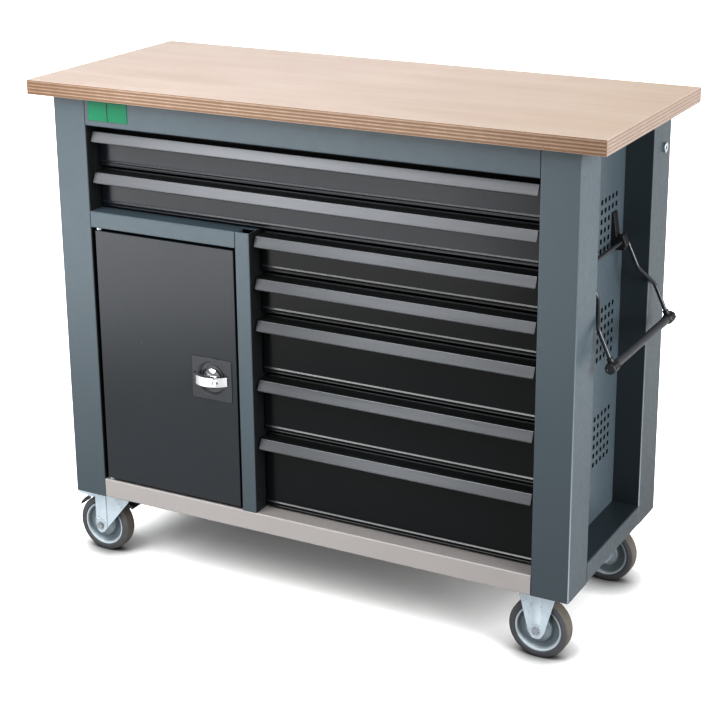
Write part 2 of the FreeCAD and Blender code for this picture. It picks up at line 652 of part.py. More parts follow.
def axle(ax_x, cy, seat):
    """Axle bolt with a flanged nut at the far side; seat is the outer face it bears on."""
    return fuse(cyl(4.98, (ax_x, cy - seat - 3, AXLE_Z), (0, 1, 0), 2 * seat + 6),
                cyl(8.2, (ax_x, cy - seat, AXLE_Z), (0, -1, 0), 1.2),
                hex_head(7.2, (ax_x, cy - seat, AXLE_Z), (0, -1, 0), 5.0),
                cyl(8.2, (ax_x, cy + seat, AXLE_Z), (0, 1, 0), 1.2),
                hex_head(7.2, (ax_x, cy + seat, AXLE_Z), (0, 1, 0), 5.5))


# fixed castors, right end
fixed_parts = []
FIX_OUT = [(-43, P_BOT), (43, P_BOT), (36, -897.0), (16.5, AXLE_Z - 4), (8.0, AXLE_Z - 17.0), (-8.0, AXLE_Z - 17.0),
           (-16.5, AXLE_Z - 4), (-36, -897.0)]
FIX_RAD = [0, 0, 8, 10, 8, 8, 10, 8]
for cy in CASTOR_Y:
    cx = CASTOR_X[1]
    s = top_plate(cx, cy)
    web = box(cx - 29, cx + 29, cy + LEG0, cy - LEG0, P_BOT - 3, P_BOT)
    la = leg(cx, cy, FIX_OUT, FIX_RAD, LEG0, LEG1)
    lb = leg(cx, cy, FIX_OUT, FIX_RAD, -LEG1, -LEG0)
    ribs = []
    for sgn in (-1, 1):
        rb = cyl(21.0, (cx, cy + sgn * (25 - 18.2), AXLE_Z + 14), (0, 0, 1), 72).common(
            box(cx - 20, cx + 20, cy + sgn * 24, cy + sgn * 29, AXLE_Z + 13, P_BOT))
        ribs.append(rb)
    s = fuse(s, web, la, lb, *ribs)
    s = s.cut(cyl(5.0, (cx, cy - 40, AXLE_Z), (0, 1, 0), 80))
    fixed_parts += [s, axle(cx, cy, 25.0)]
node("fixed_castor_brackets", *fixed_parts)

# swivel castors, left end
NECK_R = 29.0
plates = []
for cy in CASTOR_Y:
    cx = CASTOR_X[0]
    s = top_plate(cx, cy)
    race = cone(NECK_R, NECK_R - 3.0, (cx, cy, P_BOT), (0, 0, -1), 7.0)
    stem = cyl(6.0, (cx, cy, P_BOT - 7.0), (0, 0, -1), 9.0)
    head = cyl(10.0, (cx, cy, P_BOT - 7.5 - 5.0 - 0.5), (0, 0, -1), 3.0)
    plates.append(fuse(s, race, stem, head))
node("swivel_castor_plates", *plates)

F_TOP = P_BOT - 7.5
FORK_OUT = [(-56.0, F_TOP), (26.0, F_TOP), (33.0, -896.0), (-36.0, AXLE_Z - 13.5), (-44.0, AXLE_Z - 18.0),
            (-53.0, AXLE_Z - 12.0), (-56.0, AXLE_Z + 4.0)]
FORK_RAD = [3, 5, 6, 6, 6, 6, 8]
RIB_OUT = [(-56.0, F_TOP), (-28.0, F_TOP), (-28.0, AXLE_Z - 4.0), (-36.0, AXLE_Z - 13.5), (-44.0, AXLE_Z - 18.0),
           (-53.0, AXLE_Z - 12.0), (-56.0, AXLE_Z + 4.0)]
RIB_RAD = [3, 2, 6, 6, 6, 6, 8]
PEDAL_PIN = (28.0, -892.0)
SHOE_R0, SHOE_R1 = 68.8, 71.2
for tag, cy in (("front", CASTOR_Y[0]), ("rear", CASTOR_Y[1])):
    cx = CASTOR_X[0]
    ax_x = cx - TRAIL
    crown = cyl(29.5, (cx, cy, F_TOP), (0, 0, -1), 5.0)
    web = box(cx - 34, cx + 24, cy + LEG0, cy - LEG0, F_TOP - 3.0, F_TOP)
    la = leg(cx, cy, FORK_OUT, FORK_RAD, LEG0, LEG1)
    lb = leg(cx, cy, FORK_OUT, FORK_RAD, -LEG1, -LEG0)
    ra = leg(cx, cy, RIB_OUT, RIB_RAD, LEG0 - 1.8, LEG0 + 0.5)
    rb = leg(cx, cy, RIB_OUT, RIB_RAD, -LEG0 - 0.5, -LEG0 + 1.8)
    s = fuse(crown, web, la, lb, ra, rb)
    s = s.cut(cyl(6.06, (cx, cy, F_TOP + 1), (0, 0, -1), 12))
    s = s.cut(cyl(5.0, (ax_x, cy - 40, AXLE_Z), (0, 1, 0), 80))
    s = s.cut(cyl(3.0, (PEDAL_PIN[0], cy - 40, PEDAL_PIN[1]), (0, 1, 0), 80))
    piv = fuse(cyl(2.98, (PEDAL_PIN[0], cy - 28, PEDAL_PIN[1]), (0, 1, 0), 56),
               cyl(4.6, (PEDAL_PIN[0], cy - 26.8, PEDAL_PIN[1]), (0, -1, 0), 1.8),
               cyl(4.6, (PEDAL_PIN[0], cy + 26.8, PEDAL_PIN[1]), (0, 1, 0), 1.8))
    node("swivel_fork_" + tag + "_left", s, axle(ax_x, cy, 26.8), piv)
    # brake pedal: flanged plate left of the fork with a tongue to the pin
    out = [(-26.5, -890.5), (-19.0, -883.0), (20.4, -883.0), (20.4, -901.5), (9.0, -903.5), (-21.0, -899.0)]
    rad = [5, 7, 0, 2, 8, 7]
    body = prism("xz", out, cy - 25.0, cy + 25.0, rad)
    inn = [(-28.0, -892.0), (-18.2, -885.2), (21.0, -885.2), (21.0, -912.0), (-28.0, -912.0)]
    body = body.cut(prism("xz", inn, cy - 22.8, cy + 22.8, [0, 5, 0, 0, 0]))
    tongue = prism("xz", [(12.0, -883.4), (33.0, -883.4), (36.5, -889.0), (34.0, -897.0), (12.0, -897.0)],
                   cy - 20.0, cy + 20.0, [0, 4, 4, 4, 0])
    tongue = tongue.cut(box(11.0, 40.0, cy - 17.6, cy + 17.6, -886.4, -898.0))
    ped = fuse(body, tongue)
    ped = ped.cut(cyl(3.05, (PEDAL_PIN[0], cy - 40, PEDAL_PIN[1]), (0, 1, 0), 80))
    node("brake_pedal_" + tag + "_left", ped)
    # black brake shoe: curved strip over the tyre, with a strip running back through the fork
    c = V(ax_x, cy, AXLE_Z)
    ring = cyl(SHOE_R1, (ax_x, cy - 17.0, AXLE_Z), (0, 1, 0), 34).cut(cyl(SHOE_R0, (ax_x, cy - 18.0, AXLE_Z), (0, 1, 0), 36))
    wedge = prism("xz", [(ax_x, AXLE_Z), (ax_x - 100, AXLE_Z + 73.2), (ax_x - 100, AXLE_Z + 110), (ax_x, AXLE_Z + 110)], cy - 20, cy + 20)
    arc = ring.common(wedge)
    hook = prism("xz", [(-22.6, -925.2), (-21.0, -924.2), (-24.2, -931.6), (-26.2, -930.6)], cy - 17, cy + 17)
    rails = [prism("xz", [(32.0, -898.4), (32.0, -896.0), (99.0, -904.5), (99.0, -907.0)], cy + y0, cy + y0 + 4.5)
             for y0 in (-16.5, 12.0)]
    tail = prism("xz", [(97.0, -906.5), (101.0, -902.5), (117.0, -911.0), (113.0, -917.0)], cy - 16.5, cy + 16.5, [1, 1, 1, 1])
    pads = [box(13.0, 23.5, cy + y0, cy + y0 + 4.5, -899.0, -886.4) for y0 in (-16.5, 12.0)]
    node("brake_shoe_" + tag + "_left", fuse(arc, hook, tail, *rails, *pads))

for tag, cx, cy in (("front_left", CASTOR_X[0] - TRAIL, CASTOR_Y[0]), ("rear_left", CASTOR_X[0] - TRAIL, CASTOR_Y[1]),
                    ("front_right", CASTOR_X[1], CASTOR_Y[0]), ("rear_right", CASTOR_X[1], CASTOR_Y[1])):
    rim, tyre = wheel(cx, cy)
    node("wheel_rim_" + tag, rim)
    node("tyre_" + tag, tyre)

# ---------------------------------------------------------------- fasteners
for cx in CASTOR_X:
    for cy in CASTOR_Y:
        for dx in (-40, 40):
            for dy in (-BOLT_DY, BOLT_DY):
                shank = cyl(4.0, (cx + dx, cy + dy, P_BOT), (0, 0, 1), 9.0)
                head = hex_head(7.5, (cx + dx, cy + dy, P_BOT), (0, 0, -1), 4.5)
                small.append(fuse(shank, head))
# eyelet round the hole near the top of each rear post
for sgn, xo in ((1, X_OUT), (-1, 0.0)):
    e = cyl(10.0, (xo, FRAME_D - 38.0, -84.7), (sgn, 0, 0), 4.5).fuse(
        cyl(4.95, (xo - sgn * 3.5, FRAME_D - 38.0, -84.7), (sgn, 0, 0), 4.0))
    e = e.cut(cyl(3.4, (xo - sgn * 6, FRAME_D - 38.0, -84.7), (sgn, 0, 0), 14.0)).removeSplitter()
    small.append(e)
node("fasteners", *small)

# ---------------------------------------------------------------- write
for name, shape in NODES.items():
    shape.exportStep("parts/%s.step" % name)
print(len(NODES), "nodes,", sum(len(s.Solids) for s in NODES.values()), "solids")
bb = Part.makeCompound(list(NODES.values())).BoundBox
print("box", [round(v, 2) for v in (bb.XMin, bb.XMax, bb.YMin, bb.YMax, bb.ZMin, bb.ZMax)])
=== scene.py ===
import bpy
import bmesh
import json
import math
from mathutils import Matrix, Vector


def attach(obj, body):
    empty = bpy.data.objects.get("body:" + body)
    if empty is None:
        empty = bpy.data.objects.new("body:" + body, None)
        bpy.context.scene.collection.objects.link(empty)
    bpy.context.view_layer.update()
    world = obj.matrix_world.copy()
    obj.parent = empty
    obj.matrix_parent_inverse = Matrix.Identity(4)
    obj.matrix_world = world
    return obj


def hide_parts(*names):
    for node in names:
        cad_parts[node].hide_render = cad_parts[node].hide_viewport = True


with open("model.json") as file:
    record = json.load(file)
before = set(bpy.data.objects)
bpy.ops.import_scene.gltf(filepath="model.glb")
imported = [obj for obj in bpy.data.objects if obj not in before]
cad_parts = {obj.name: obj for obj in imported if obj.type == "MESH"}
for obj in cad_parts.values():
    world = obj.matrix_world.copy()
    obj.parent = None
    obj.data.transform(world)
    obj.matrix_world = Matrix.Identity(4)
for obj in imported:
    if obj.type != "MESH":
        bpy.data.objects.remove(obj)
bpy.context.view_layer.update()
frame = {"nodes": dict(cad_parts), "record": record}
NODE = frame["nodes"]
BODIES = frame["record"]["behaviour"]["bodies"]
BODY_OF = {n: b for b, ns in BODIES.items() for n in ns}

# Bench coordinates in millimetres: x from the left end frame's outer face, y from the posts' front
# face to the back, z from the worktop's underside. R() turns them into the row frame, in metres.
OX, OY, OZ = -573.5, -240.25, 1029.5
MM = 0.001


def R(x, y, z):
    return Vector(((x + OX) * MM, (y + OY) * MM, (z + OZ) * MM))


FRAME_W, FRAME_D, FRAME_H = 1147.0, 487.0, 874.5
POST_W = 78.0
DIV_X0, DIV_X1 = 426.0, 460.0
MID_X, MID_Y = FRAME_W / 2.0, FRAME_D / 2.0
REAR_WALL = 470.0
BASE_TOP = -832.8
THIN = 1.5
WALL_IN_L, WALL_IN_R = POST_W + THIN, FRAME_W - POST_W - THIN
DRAWERS = [("1", -70.5, 75.0, True), ("2", -156.3, 75.0, True), ("3", -243.3, 75.0, False),
           ("4", -330.6, 75.0, False), ("5", -417.8, 115.0, False), ("6", -545.1, 115.0, False),
           ("7", -672.4, 155.0, False)]
AXLE_Z = -967.0
WHEEL_R = 62.5
LOCK_X, LOCK_Z = 360.0, -554.0


# ------------------------------------------------------------------ shader helpers
def lin(r, g, b):
    """sRGB 0-255 to linear."""
    def f(v):
        v /= 255.0
        return v / 12.92 if v <= 0.04045 else ((v + 0.055) / 1.055) ** 2.4
    return (f(r), f(g), f(b), 1.0)


def times(c, k):
    return (min(c[0] * k, 1.0), min(c[1] * k, 1.0), min(c[2] * k, 1.0), 1.0)


class Graph:
    """Small helper round one material's node tree."""

    def __init__(self, name):
        self.mat = bpy.data.materials.new(name)
        self.mat.use_nodes = True
        self.nt = self.mat.node_tree
        self.nt.nodes.clear()
        self.out = self.nt.nodes.new("ShaderNodeOutputMaterial")
        self.b = self.nt.nodes.new("ShaderNodeBsdfPrincipled")
        self.nt.links.new(self.b.outputs["BSDF"], self.out.inputs["Surface"])
        self.tc = self.nt.nodes.new("ShaderNodeTexCoord")
        self.obj = self.tc.outputs["Object"]

    def link(self, sock, target):
        self.nt.links.new(sock, target)

    def put(self, node, key, v):
        sock = node.inputs[key]
        if isinstance(v, bpy.types.NodeSocket):
            self.nt.links.new(v, sock)
        else:
            sock.default_value = v

    def scaled(self, sx, sy, sz, vec=None, loc=(0, 0, 0), rot=(0, 0, 0)):
        n = self.nt.nodes.new("ShaderNodeMapping")
        n.inputs["Scale"].default_value = (sx, sy, sz)
        n.inputs["Location"].default_value = loc
        n.inputs["Rotation"].default_value = rot
        self.put(n, "Vector", vec or self.obj)
        return n.outputs["Vector"]

    def noise(self, vec=None, scale=10.0, detail=3.0, rough=0.5, dist=0.0):
        n = self.nt.nodes.new("ShaderNodeTexNoise")
        self.put(n, "Vector", vec or self.obj)
        n.inputs["Scale"].default_value = scale
        n.inputs["Detail"].default_value = detail
        n.inputs["Roughness"].default_value = rough
        n.inputs["Distortion"].default_value = dist
        return n.outputs["Fac"]

    def voronoi(self, vec=None, scale=10.0, feature="F1", out="Distance", rand=1.0):
        n = self.nt.nodes.new("ShaderNodeTexVoronoi")
        n.feature = feature
        self.put(n, "Vector", vec or self.obj)
        n.inputs["Scale"].default_value = scale
        n.inputs["Randomness"].default_value = rand
        return n.outputs[out]

    def wave(self, vec=None, scale=10.0, dist=0.0, detail=2.0, dscale=1.0, axis="Z", profile="SIN"):
        n = self.nt.nodes.new("ShaderNodeTexWave")
        n.bands_direction = axis
        n.wave_profile = profile
        self.put(n, "Vector", vec or self.obj)
        n.inputs["Scale"].default_value = scale
        n.inputs["Distortion"].default_value = dist
        n.inputs["Detail"].default_value = detail
        n.inputs["Detail Scale"].default_value = dscale
        return n.outputs["Fac"]

    def ramp(self, fac, stops, interp="LINEAR"):
        n = self.nt.nodes.new("ShaderNodeValToRGB")
        n.color_ramp.interpolation = interp
        els = n.color_ramp.elements
        while len(els) > 1:
            els.remove(els[-1])
        els[0].position, els[0].color = stops[0]
        for p, c in stops[1:]:
            e = els.new(p)
            e.color = c
        self.put(n, "Fac", fac)
        return n.outputs["Color"]

    def remap(self, v, a, b, c, d):
        n = self.nt.nodes.new("ShaderNodeMapRange")
        n.inputs["From Min"].default_value = a
        n.inputs["From Max"].default_value = b
        n.inputs["To Min"].default_value = c
        n.inputs["To Max"].default_value = d
        self.put(n, "Value", v)
        return n.outputs["Result"]

    def math(self, op, a, b=0.0, c=None):
        n = self.nt.nodes.new("ShaderNodeMath")
        n.operation = op
        self.put(n, 0, a)
        self.put(n, 1, b)
        if c is not None:
            self.put(n, 2, c)
        return n.outputs[0]

    def mix(self, fac, a, b, blend="MIX"):
        n = self.nt.nodes.new("ShaderNodeMix")
        n.data_type = "RGBA"
        n.blend_type = blend
        n.clamp_result = False
        self.put(n, 0, fac)
        self.put(n, 6, a)
        self.put(n, 7, b)
        return n.outputs[2]

    def sep(self, vec=None):
        n = self.nt.nodes.new("ShaderNodeSeparateXYZ")
        self.put(n, 0, vec or self.obj)
        return n.outputs

    def bump(self, height, strength=0.2, dist=0.0005, normal=None):
        n = self.nt.nodes.new("ShaderNodeBump")
        n.inputs["Strength"].default_value = strength
        n.inputs["Distance"].default_value = dist
        self.put(n, "Height", height)
        if normal is not None:
            self.put(n, "Normal", normal)
        return n.outputs["Normal"]

    def drift(self, col, axis, lo, hi, c0, c1):
        """Slow change of tone along an axis: c0 and c1 multiply the colour at lo and hi."""
        fac = self.ramp(self.remap(self.sep()[axis], lo, hi, 0.0, 1.0), [(0.0, (*c0, 1)), (1.0, (*c1, 1))])
        return self.mix(1.0, col, fac, "MULTIPLY")

    def finish(self, **sockets):
        for k, v in sockets.items():
            self.put(self.b, k.replace("_", " "), v)
        return self.mat


def g_mid(a, b):
    return tuple((p + q) / 2 for p, q in zip(a, b))


def powder(name, base, spread=0.025, rough=0.38, rough_var=0.04, peel=0.05, peel_scale=900.0,
           spec=0.5, speck=0.05, coat=0.0, tone=()):
    """Powder coat: orange-peel skin, faint clouding and fine specks. tone gives painted light and shade,
    slow drifts of the colour over the part: (axis, from, to, factor at from, factor at to)."""
    g = Graph(name)
    cloud = g.noise(scale=5.0, detail=4.0, rough=0.6)
    fine = g.noise(scale=1500.0, detail=1.0, rough=0.5)
    mid = g.noise(scale=90.0, detail=3.0, rough=0.6)
    col = g.mix(g.remap(cloud, 0.3, 0.7, 0.0, 1.0), times(base, 1 - spread), times(base, 1 + spread))
    col = g.mix(g.remap(fine, 0.3, 0.7, 0.0, 1.0), col, g.mix(1.0, col, times((1, 1, 1, 1), 1 - speck), "MULTIPLY"))
    for axis, lo, hi, k0, k1 in tone:
        grade = g.nt.nodes.new("ShaderNodeVectorMath")
        grade.operation = "SCALE"
        g.put(grade, 0, col)
        g.put(grade, "Scale", g.remap(g.sep()[axis], lo, hi, k0, k1))
        col = grade.outputs[0]
    r = g.math("ADD", g.remap(mid, 0.3, 0.7, rough - rough_var, rough + rough_var),
               g.remap(cloud, 0.3, 0.7, -0.02, 0.02))
    skin = g.noise(scale=peel_scale, detail=2.0, rough=0.45)
    sag = g.noise(scale=peel_scale * 0.18, detail=2.0, rough=0.5)
    nrm = g.bump(skin, peel, 0.00025)
    nrm = g.bump(sag, peel * 0.35, 0.0004, nrm)
    sock = dict(Base_Color=col, Roughness=r, Normal=nrm)
    m = g.finish(**sock)
    g.b.inputs["Specular IOR Level"].default_value = spec
    if coat:
        g.b.inputs["Coat Weight"].default_value = coat
        g.b.inputs["Coat Roughness"].default_value = 0.18
    return m


def brushed(name, base, rough=0.36, axis="X", metallic=1.0, streak=0.10, strength=0.10, tone=()):
    """Brushed or rolled metal: streaks along one axis."""
    g = Graph(name)
    s = {"X": (6, 900, 900), "Y": (900, 6, 900), "Z": (900, 900, 6)}[axis]
    line = g.noise(g.scaled(*s), scale=1.0, detail=4.0, rough=0.65)
    broad = g.noise(g.scaled(*[v * 0.12 for v in s]), scale=1.0, detail=2.0, rough=0.5)
    cloud = g.noise(scale=9.0, detail=3.0, rough=0.6)
    col = g.mix(g.remap(line, 0.25, 0.75, 0.0, 1.0), times(base, 1 - streak), times(base, 1 + streak))
    col = g.mix(g.remap(cloud, 0.3, 0.7, 0.0, 0.5), col, times(base, 0.94))
    for ax, lo, hi, k0, k1 in tone:
        grade = g.nt.nodes.new("ShaderNodeVectorMath")
        grade.operation = "SCALE"
        g.put(grade, 0, col)
        g.put(grade, "Scale", g.remap(g.sep()[ax], lo, hi, k0, k1))
        col = grade.outputs[0]
    r = g.math("ADD", g.remap(line, 0.25, 0.75, rough - 0.07, rough + 0.07), g.remap(broad, 0.3, 0.7, -0.03, 0.03))
    nrm = g.bump(line, strength, 0.0002)
    m = g.finish(Base_Color=col, Roughness=r, Normal=nrm)
    g.b.inputs["Metallic"].default_value = metallic
    return m


def zinc(name, base, rough=0.34, grain=1.0, metallic=1.0):
    """Bright zinc plate: cloudy, faintly blue, with rolling marks and small pits."""
    g = Graph(name)
    cloud = g.noise(scale=38.0, detail=3.0, rough=0.5, dist=0.4)
    big = g.noise(scale=11.0, detail=2.0, rough=0.5)
    pits = g.voronoi(scale=900.0)
    roll = g.noise(g.scaled(60, 60, 900), scale=1.0, detail=3.0, rough=0.6)
    col = g.ramp(cloud, [(0.25, times(base, 0.86)), (0.5, base), (0.78, times(base, 1.08))])
    col = g.mix(g.remap(big, 0.35, 0.65, 0.0, 0.35), col, (base[0] * 0.93, base[1] * 0.99, base[2] * 1.05, 1))
    r = g.math("ADD", g.remap(cloud, 0.25, 0.75, rough - 0.06, rough + 0.06), g.remap(roll, 0.3, 0.7, -0.03 * grain, 0.03 * grain))
    nrm = g.bump(roll, 0.08 * grain, 0.0002)
    nrm = g.bump(g.remap(pits, 0.0, 0.35, 0.0, 1.0), 0.05 * grain, 0.0001, nrm)
    m = g.finish(Base_Color=col, Roughness=r, Normal=nrm)
    g.b.inputs["Metallic"].default_value = metallic
    return m


def moulded(name, base, rough=0.5, grain=420.0, strength=0.18, spec=0.5, var=0.06):
    """Moulded plastic with a fine spark-eroded grain."""
    g = Graph(name)
    tex = g.voronoi(scale=grain, feature="SMOOTH_F1")
    fine = g.noise(scale=grain * 2.2, detail=2.0)
    cloud = g.noise(scale=14.0, detail=3.0, rough=0.6)
    col = g.mix(g.remap(cloud, 0.3, 0.7, 0.0, 1.0), times(base, 1 - var), times(base, 1 + var))
    r = g.remap(fine, 0.3, 0.7, rough - 0.06, rough + 0.06)
    nrm = g.bump(tex, strength, 0.0002)
    nrm = g.bump(fine, strength * 0.4, 0.0001, nrm)
    m = g.finish(Base_Color=col, Roughness=r, Normal=nrm)
    g.b.inputs["Specular IOR Level"].default_value = spec
    return m


def tyre_rubber(name):
    """Grey rubber: clean side walls, dusty brownish tread. The wheel's own centre is its origin."""
    g = Graph(name)
    x, y, z = g.sep()
    rad = g.math("SQRT", g.math("ADD", g.math("MULTIPLY", x, x), g.math("MULTIPLY", z, z)))
    tread = g.remap(rad, 0.0585, 0.0612, 0.0, 1.0)
    side = (0.066, 0.069, 0.076, 1)
    warm = (0.090, 0.081, 0.070, 1)
    speck = g.noise(scale=520.0, detail=3.0, rough=0.7)
    cloud = g.noise(scale=30.0, detail=4.0, rough=0.65)
    a = g.mix(g.remap(cloud, 0.3, 0.7, 0.0, 1.0), times(side, 0.86), times(side, 1.12))
    b = g.mix(g.remap(cloud, 0.3, 0.7, 0.0, 1.0), times(warm, 0.80), times(warm, 1.15))
    col = g.mix(tread, a, b)
    col = g.mix(g.remap(speck, 0.62, 0.75, 0.0, 0.35), col, (0.095, 0.086, 0.075, 1))
    r = g.remap(cloud, 0.3, 0.7, 0.62, 0.78)
    nrm = g.bump(speck, 0.25, 0.0004)
    m = g.finish(Base_Color=col, Roughness=r, Normal=nrm)
    g.b.inputs["Specular IOR Level"].default_value = 0.35
    return m


def rim_plastic(name):
    """Moulded wheel centre: light flange and hub, darker web between. The wheel's centre is its origin."""
    g = Graph(name)
    x, y, z = g.sep()
    rad = g.math("MULTIPLY", g.math("SQRT", g.math("ADD", g.math("MULTIPLY", x, x), g.math("MULTIPLY", z, z))), 1000.0)
    wob = g.noise(scale=60.0, detail=2.0)
    rad = g.math("ADD", rad, g.math("MULTIPLY", g.math("SUBTRACT", wob, 0.5), 0.8))
    zone = g.ramp(g.math("DIVIDE", rad, 50.0), [
        (0.0, (0.22, 0.245, 0.26, 1)), (0.30, (0.22, 0.245, 0.26, 1)), (0.42, (0.19, 0.222, 0.240, 1)),
        (0.56, (0.115, 0.142, 0.158, 1)), (0.83, (0.108, 0.136, 0.152, 1)), (0.88, (0.335, 0.375, 0.40, 1)),
        (1.0, (0.365, 0.405, 0.43, 1))])
    cloud = g.noise(scale=22.0, detail=3.0, rough=0.6)
    fine = g.noise(scale=900.0, detail=2.0)
    col = g.mix(g.remap(cloud, 0.3, 0.7, 0.0, 0.22), zone, g.mix(1.0, zone, (0.72, 0.72, 0.70, 1), "MULTIPLY"))
    nrm = g.bump(fine, 0.05, 0.0001)
    return g.finish(Base_Color=col, Roughness=g.remap(fine, 0.3, 0.7, 0.32, 0.42), Normal=nrm)


def ply_face(name, tone=1.0):
    """Face veneer of a beech plywood board, grain along x."""
    g = Graph(name)
    warp = g.noise(g.scaled(1.6, 5.0, 5.0), scale=1.0, detail=2.0, rough=0.5)
    off = g.nt.nodes.new("ShaderNodeCombineXYZ")
    g.put(off, 1, g.math("MULTIPLY", g.math("SUBTRACT", warp, 0.5), 0.12))
    add = g.nt.nodes.new("ShaderNodeVectorMath")
    add.operation = "ADD"
    g.put(add, 0, g.obj)
    g.put(add, 1, off.outputs[0])
    vec = add.outputs[0]
    figure = g.noise(g.scaled(1.3, 16.0, 16.0, vec), scale=1.0, detail=5.0, rough=0.62, dist=0.5)
    streak = g.noise(g.scaled(5.0, 210.0, 210.0, vec), scale=1.0, detail=4.0, rough=0.7)
    mottle = g.noise(g.scaled(9.0, 13.0, 9.0), scale=1.0, detail=4.0, rough=0.6)
    fleck = g.noise(g.scaled(120.0, 1300.0, 900.0), scale=1.0, detail=1.0, rough=0.5)
    light = times((0.460, 0.404, 0.365, 1), tone)
    mid = times((0.431, 0.367, 0.325, 1), tone)
    dark = times((0.385, 0.317, 0.271, 1), tone)
    col = g.ramp(figure, [(0.22, g_mid(dark, mid)), (0.46, mid), (0.74, light)])
    col = g.mix(g.remap(streak, 0.35, 0.72, 0.0, 0.20), col, times(dark, 1.02))
    col = g.mix(g.remap(mottle, 0.35, 0.72, 0.0, 0.50), col, times(light, 1.02))
    col = g.mix(g.remap(fleck, 0.66, 0.74, 0.0, 0.22), col, times(dark, 0.80))
    col = g.drift(col, 0, -0.10, 0.58, (0.985, 0.975, 0.985), (0.885, 0.850, 0.805))
    r = g.math("ADD", g.remap(streak, 0.3, 0.7, 0.46, 0.56), g.remap(mottle, 0.3, 0.7, -0.03, 0.03))
    nrm = g.bump(streak, 0.10, 0.0002)
    nrm = g.bump(fleck, 0.06, 0.0001, nrm)
    m = g.finish(Base_Color=col, Roughness=r, Normal=nrm)
    g.b.inputs["Specular IOR Level"].default_value = 0.35
    return m


def ply_edge(name, along, swap, lightc=(0.340, 0.263, 0.207, 1), darkc=(0.200, 0.133, 0.092, 1)):
    """Sawn edge of the plywood: eleven plies, turn about long grain and end grain."""
    g = Graph(name)
    x, y, z = g.sep()
    lo = 1029.5 * MM
    wob = g.noise(g.scaled(*( (7, 1, 30) if along == "X" else (1, 7, 30))), scale=1.0, detail=2.0)
    h = g.math("ADD", g.math("DIVIDE", g.math("SUBTRACT", z, lo), 0.030),
               g.math("MULTIPLY", g.math("SUBTRACT", wob, 0.5), 0.035))
    ply = g.math("FRACT", g.math("ADD", g.math("MULTIPLY", h, 4.5), 0.25 if not swap else 0.75))
    soft = g.ramp(ply, [(0.0, (0, 0, 0, 1)), (0.05, (1, 1, 1, 1)), (0.46, (1, 1, 1, 1)), (0.52, (0, 0, 0, 1)), (1.0, (0, 0, 0, 1))])
    a = (60, 1, 700) if along == "X" else (1, 60, 700)
    b = (900, 1, 1100) if along == "X" else (1, 900, 1100)
    grain = g.noise(g.scaled(*a), scale=1.0, detail=4.0, rough=0.65)
    pores = g.noise(g.scaled(*b), scale=1.0, detail=2.0, rough=0.6)
    saw = g.noise(g.scaled(*((35, 1, 5) if along == "X" else (1, 35, 5))), scale=1.0, detail=3.0, rough=0.6)
    longg = g.mix(g.remap(grain, 0.3, 0.7, 0.0, 1.0), times(lightc, 0.82), times(lightc, 1.14))
    endg = g.mix(g.remap(pores, 0.3, 0.7, 0.0, 1.0), times(darkc, 0.78), times(darkc, 1.30))
    col = g.mix(soft, endg, longg)
    glue = g.ramp(ply, [(0.0, (1, 1, 1, 1)), (0.035, (0, 0, 0, 1)), (0.465, (0, 0, 0, 1)), (0.49, (1, 1, 1, 1)),
                        (0.515, (0, 0, 0, 1)), (0.965, (0, 0, 0, 1)), (1.0, (1, 1, 1, 1))])
    col = g.mix(g.math("MULTIPLY", glue, 0.45), col, times(darkc, 0.45))
    col = g.mix(g.remap(saw, 0.3, 0.75, 0.0, 0.30), col, times(darkc, 0.9))
    if along == "X":
        col = g.drift(col, 0, -0.62, -0.36, (0.80, 0.74, 0.68), (1.0, 1.0, 1.0))
        col = g.drift(col, 0, 0.32, 0.60, (1.0, 1.0, 1.0), (0.74, 0.70, 0.66))
    r = g.remap(grain, 0.3, 0.7, 0.60, 0.74)
    nrm = g.bump(g.math("ADD", g.math("MULTIPLY", soft, 0.6), grain), 0.25, 0.0003)
    m = g.finish(Base_Color=col, Roughness=r, Normal=nrm)
    g.b.inputs["Specular IOR Level"].default_value = 0.3
    return m


def polished(name, base, rough=0.10):
    """Chromed surface with faint polishing haze."""
    g = Graph(name)
    haze = g.noise(scale=160.0, detail=4.0, rough=0.6)
    hair = g.noise(g.scaled(40, 40, 1500), scale=1.0, detail=2.0)
    col = g.mix(g.remap(haze, 0.3, 0.7, 0.0, 1.0), times(base, 0.93), times(base, 1.03))
    r = g.remap(haze, 0.3, 0.7, rough * 0.7, rough * 1.5)
    nrm = g.bump(hair, 0.03, 0.0001)
    m = g.finish(Base_Color=col, Roughness=r, Normal=nrm)
    g.b.inputs["Metallic"].default_value = 1.0
    return m


M = {}
M["ply_top"] = ply_face("ply_top_face")
M["ply_under"] = ply_face("ply_under_face", 0.8)
M["ply_front"] = ply_edge("ply_front_edge", "X", False)
M["ply_end"] = ply_edge("ply_end_edge", "Y", True, (0.284, 0.245, 0.222, 1), (0.211, 0.163, 0.130, 1))
# the frame's tone is painted shade: darker towards the right end, towards the back and towards the bottom
M["frame"] = powder("frame_blue_grey", (0.0560, 0.0770, 0.0905, 1), rough=0.36,
                    tone=((0, 0.05, 0.50, 1.0, 0.90), (1, -0.20, 0.147, 1.05, 0.68), (2, 0.17, 0.74, 0.72, 1.0)))
# the pale paint on the outer front corner's bend is a painted highlight, brightest at the bottom and fading upwards
M["fold"] = powder("frame_fold_painted_highlight", (0.190, 0.210, 0.226, 1), rough=0.34, spec=0.5, tone=((2, 0.20, 0.72, 1.0, 0.50),))
M["panel"] = powder("panel_blue_grey", (0.0585, 0.0765, 0.0890, 1), rough=0.42)
# this near-black paint also goes on the frame's faces beside the drawers, as painted shade
M["inner"] = powder("inner_anthracite_and_reveal_shade", (0.010, 0.011, 0.012, 1), rough=0.45, spec=0.3)
M["base"] = powder("base_warm_grey", (0.252, 0.239, 0.235, 1), rough=0.34, spread=0.015, speck=0.03)
